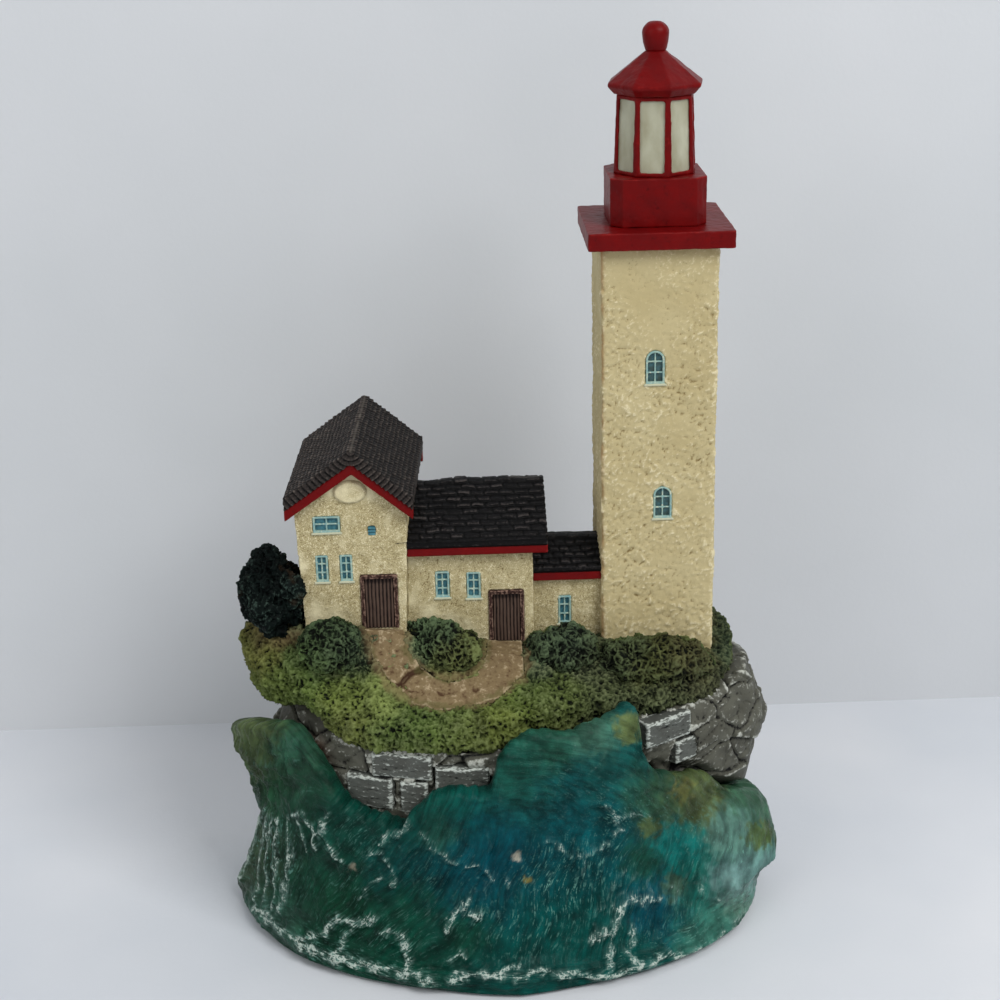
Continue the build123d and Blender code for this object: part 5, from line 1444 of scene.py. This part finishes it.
    def _foam(self, pixels: Array, seen: Array, at: Array) -> tuple[Array, Array]:
        """Density of the foam, and the folds under it: lines placed in front, streaks and a rim behind."""
        sway = np.stack([GRAIN.layered(at + 25 * k, 3.0, 3, 0.6) for k in (1, 2)], axis=1) * 8.5
        front, folds = np.zeros(len(at)), np.zeros(len(at))
        for width, strength, line in self.foam_lines:
            placed = pixels + sway * min(1.0, width / 2.4)
            low, high = np.min(line, axis=0) - 20, np.max(line, axis=0) + 20
            close = np.flatnonzero(((placed > low) & (placed < high)).all(axis=1) & (seen > 0))
            away = near_line(placed[close], line)
            front[close] = np.maximum(front[close], strength * np.exp(-((away / (width * 1.35)) ** 2)))
            folds[close] = np.maximum(folds[close], strength * np.exp(-((away / (width * 2.8)) ** 2)))
        patchy = 0.72 + 0.75 * GRAIN.layered(at + 60, (2.2, 2.2, 2.2), 3)
        veins = ease(GRAIN.ridged(at + 2.0 * GRAIN.smooth(at, 7.0)[:, None], (9, 9, 7), 2), 0.86, 0.97)
        rim = np.exp(-(((at[:, 2] - 5.0 - 1.8 * GRAIN.smooth(at, 9.0)) / 1.3) ** 2))
        behind = np.clip(0.7 * veins * ease(GRAIN.smooth(at + 90, 22.0), -0.2, 0.4) + 0.8 * rim, 0, 1)
        faint = 0.24 * ease(GRAIN.ridged(at + 2.5 * GRAIN.smooth(at + 3, 5.0)[:, None], (6, 6, 9), 2), 0.84, 0.98)
        foam = np.clip(seen * np.maximum(front, faint) + (1 - seen) * behind, 0, 1) * np.clip(patchy, 0.25, 1.15)
        return foam, seen * folds

    def _tints(self, pixels: Array, seen: Array, at: Array, top: Array) -> Array:
        """Colour of the resin at each point."""
        sway = np.stack([GRAIN.layered(at + 15 * k, 6.0, 3) for k in (3, 4)], axis=1) * 16.0
        torn = np.stack([GRAIN.layered(at + 35 * k, 1.8, 2) for k in (5, 6)], axis=1) * 1.8
        total = np.zeros((len(at), 3))
        weight = np.full(len(at), 1e-6)
        for across, down, reach, colour in self.clouds:
            placed = pixels + sway * min(1.0, reach / 40) + torn * min(6.0, reach)
            away = ((placed - (across, down)) ** 2).sum(axis=1) / reach**2
            share = np.exp(-away * (1.0 if reach > 12 else away)) * (60.0 / reach) ** 0.9 + 1e-5
            total += share[:, None] * np.array(paint_colour(*colour))
            weight += share
        front = total / weight[:, None]
        deep, green, pale = (np.array(paint_colour(*colour)) for colour in self.hidden_tints)
        mixed = ease(GRAIN.layered(at + 45, 16.0, 3), -0.25, 0.35)[:, None]
        # Paler towards the crest: painted light shining through the thin resin of the crest.
        high = ease(at[:, 2] - top, -14.0, -1.0)[:, None] * 0.7
        behind = (deep * (1 - mixed) + green * mixed) * (1 - high) + pale * high
        shade = (0.9 + 0.25 * GRAIN.layered(at + 5, (2.5, 2.5, 5.0), 3))[:, None]
        return (front * seen[:, None] + behind * (1 - seen[:, None])) * shade

    def _flow(self, pixels: Array, seen: Array, at: Array, angle: Array) -> tuple[Array, Array, Array]:
        """Places of the strokes' own grain.

        Args:
            pixels: pixel of each point.
            seen: 1 on the front, 0 behind.
            at: the points in millimetres.
            angle: each point's angle in degrees.

        Returns:
            Places wound round a cylinder, for strokes that fall; places by the arcs, for strokes along the
            crest and the rim; and the share of the arcs.
        """
        lean = self._table(self.stroke_lean, pixels[:, 0]) * seen + 0.3 * (1 - seen)
        turn = np.radians(angle) - (lean * (at[:, 2] - 25.0) + 1.2 * GRAIN.smooth(at + 33, 9.0)) / 50.0
        fall = np.stack((50.0 * np.cos(turn), 50.0 * np.sin(turn), at[:, 2]), axis=1)
        across, down = ((pixels - np.array(self.arc_middle)) / np.array(self.arc_reach)).T
        reach = np.hypot(across, down)
        arc = np.stack((35.0 * reach + 0.8 * GRAIN.smooth(at + 3, 9.0), 45.0 * np.arctan2(down, across), 0 * down), axis=1)
        upper = ease(pixels[:, 0], 450, 520) * ease(-pixels[:, 1], -850, -812)
        return fall, arc, seen * np.maximum(upper, ease(reach, 0.86, 0.95) * ease(down, -0.2, 0.3))

    def _brushing(self, pixels: Array, seen: Array, at: Array) -> Array:
        """How strongly the dry brush has passed over each point."""
        front = np.full(len(at), 0.07)
        for across, down, reach, strength in self.brushing:
            away = ((pixels - (across, down)) ** 2).sum(axis=1)
            front = np.maximum(front, strength * np.exp(-away / reach**2))
        patchy = 0.75 + 0.7 * GRAIN.layered(at + 140, 5.0, 3)
        return (front * seen + 0.45 * (1 - seen)) * patchy

    def build(self, shop: Workshop) -> None:
        """Casts the wave and the felt."""
        mesh, angle, outside = self._grid(shop.coarse)
        cast = Casting("sea_casting_cast", mesh)
        at = cast.at.copy()
        pixels = EYE.pixels(at)
        sight = np.array(EYE.place) - at
        sight /= np.linalg.norm(sight, axis=1, keepdims=True)
        seen = ease((cast.facing * sight).sum(axis=1), -0.12, 0.1) * ease(-at[:, 1], -6.0, 2.0)
        top = self._crest(angle)
        foam, folds = (values * ease(outside, 0.3, 0.9) for values in self._foam(pixels, seen, at))
        fall, arc, arcs = self._flow(pixels, seen, at, angle)
        ribs, fine = (
            (1 - arcs) * noise(fall, (size, size, long), 2) + arcs * noise(arc, (size, long, 1.0), 2)
            for noise, size, long in ((GRAIN.ridged, 2.4, 17.0), (GRAIN.layered, 0.95, 7.0))
        )
        ribs -= 0.62
        lobe = np.exp(-((((pixels - np.array(self.left_lobe)) / np.array(self.left_reach)) ** 2).sum(axis=1) ** 2)) * seen
        billows = GRAIN.layered(at, (13.0, 13.0, 10.0), 2)
        scoops = GRAIN.ridged(at + 4.0 * GRAIN.smooth(at + 33, 8.0)[:, None], (11.0, 11.0, 8.0), 2) - 0.6
        near, _, _ = GRAIN.cells(at, 2.2)
        heights = self.billow * (billows + 0.9 * scoops) + self.ribbing * (1.3 * ribs + 0.45 * fine)
        heights += 0.14 * ease(near, 0.0, 0.6)
        froth = 0.7 + 0.6 * GRAIN.layered(at, 0.8, 2)
        heights += self.crust * foam * froth + self.fold * folds
        hold = ease(at[:, 2], 1.0, 2.2) * outside
        knobs = GRAIN.layered(at + 160, 3.4, 4, 0.6)
        heights += lobe * (1.7 * knobs - 0.8 * self.ribbing * ribs)
        cast.press(heights * hold)
        cast.channel("relief", 0.5 + (1 - lobe) * (0.5 * ribs + 0.35 * fine) + lobe * 0.9 * knobs)
        cast.channel("arcs", arcs)
        cast.channel("brushing", self._brushing(pixels, seen, at))
        cast.channel("foam", foam)
        cast.vectors("tint", np.clip(self._tints(pixels, seen, at, top), 0, 1))
        cast.vectors("flow", fall * MM)
        cast.vectors("arc", arc * MM)
        cast.deliver(Finish.SEA, "sea_resin", ["sea_casting"])
        felt = shop.cast("base_felt_cast", ["base_felt"], 0.9, 1)
        felt.relief(0.04 * GRAIN.layered(felt.at, 1.0, 2))
        felt.deliver(Finish.FELT, "felt", ["base_felt"])


def main() -> None:
    """Loads the frame and builds each sub-assembly in order."""
    logging.basicConfig(level=logging.INFO, format="%(name)s %(message)s")
    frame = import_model()
    shop = Workshop(frame, 1.0)
    Studio().build()
    for part in (Wave(), Stonework(), Greenery(), Stuccowork(), Roofwork(), Joinery(), Lantern()):
        LOG.info("building %s", type(part).__name__)
        part.build(shop)


if __name__ == "__main__":
    main()
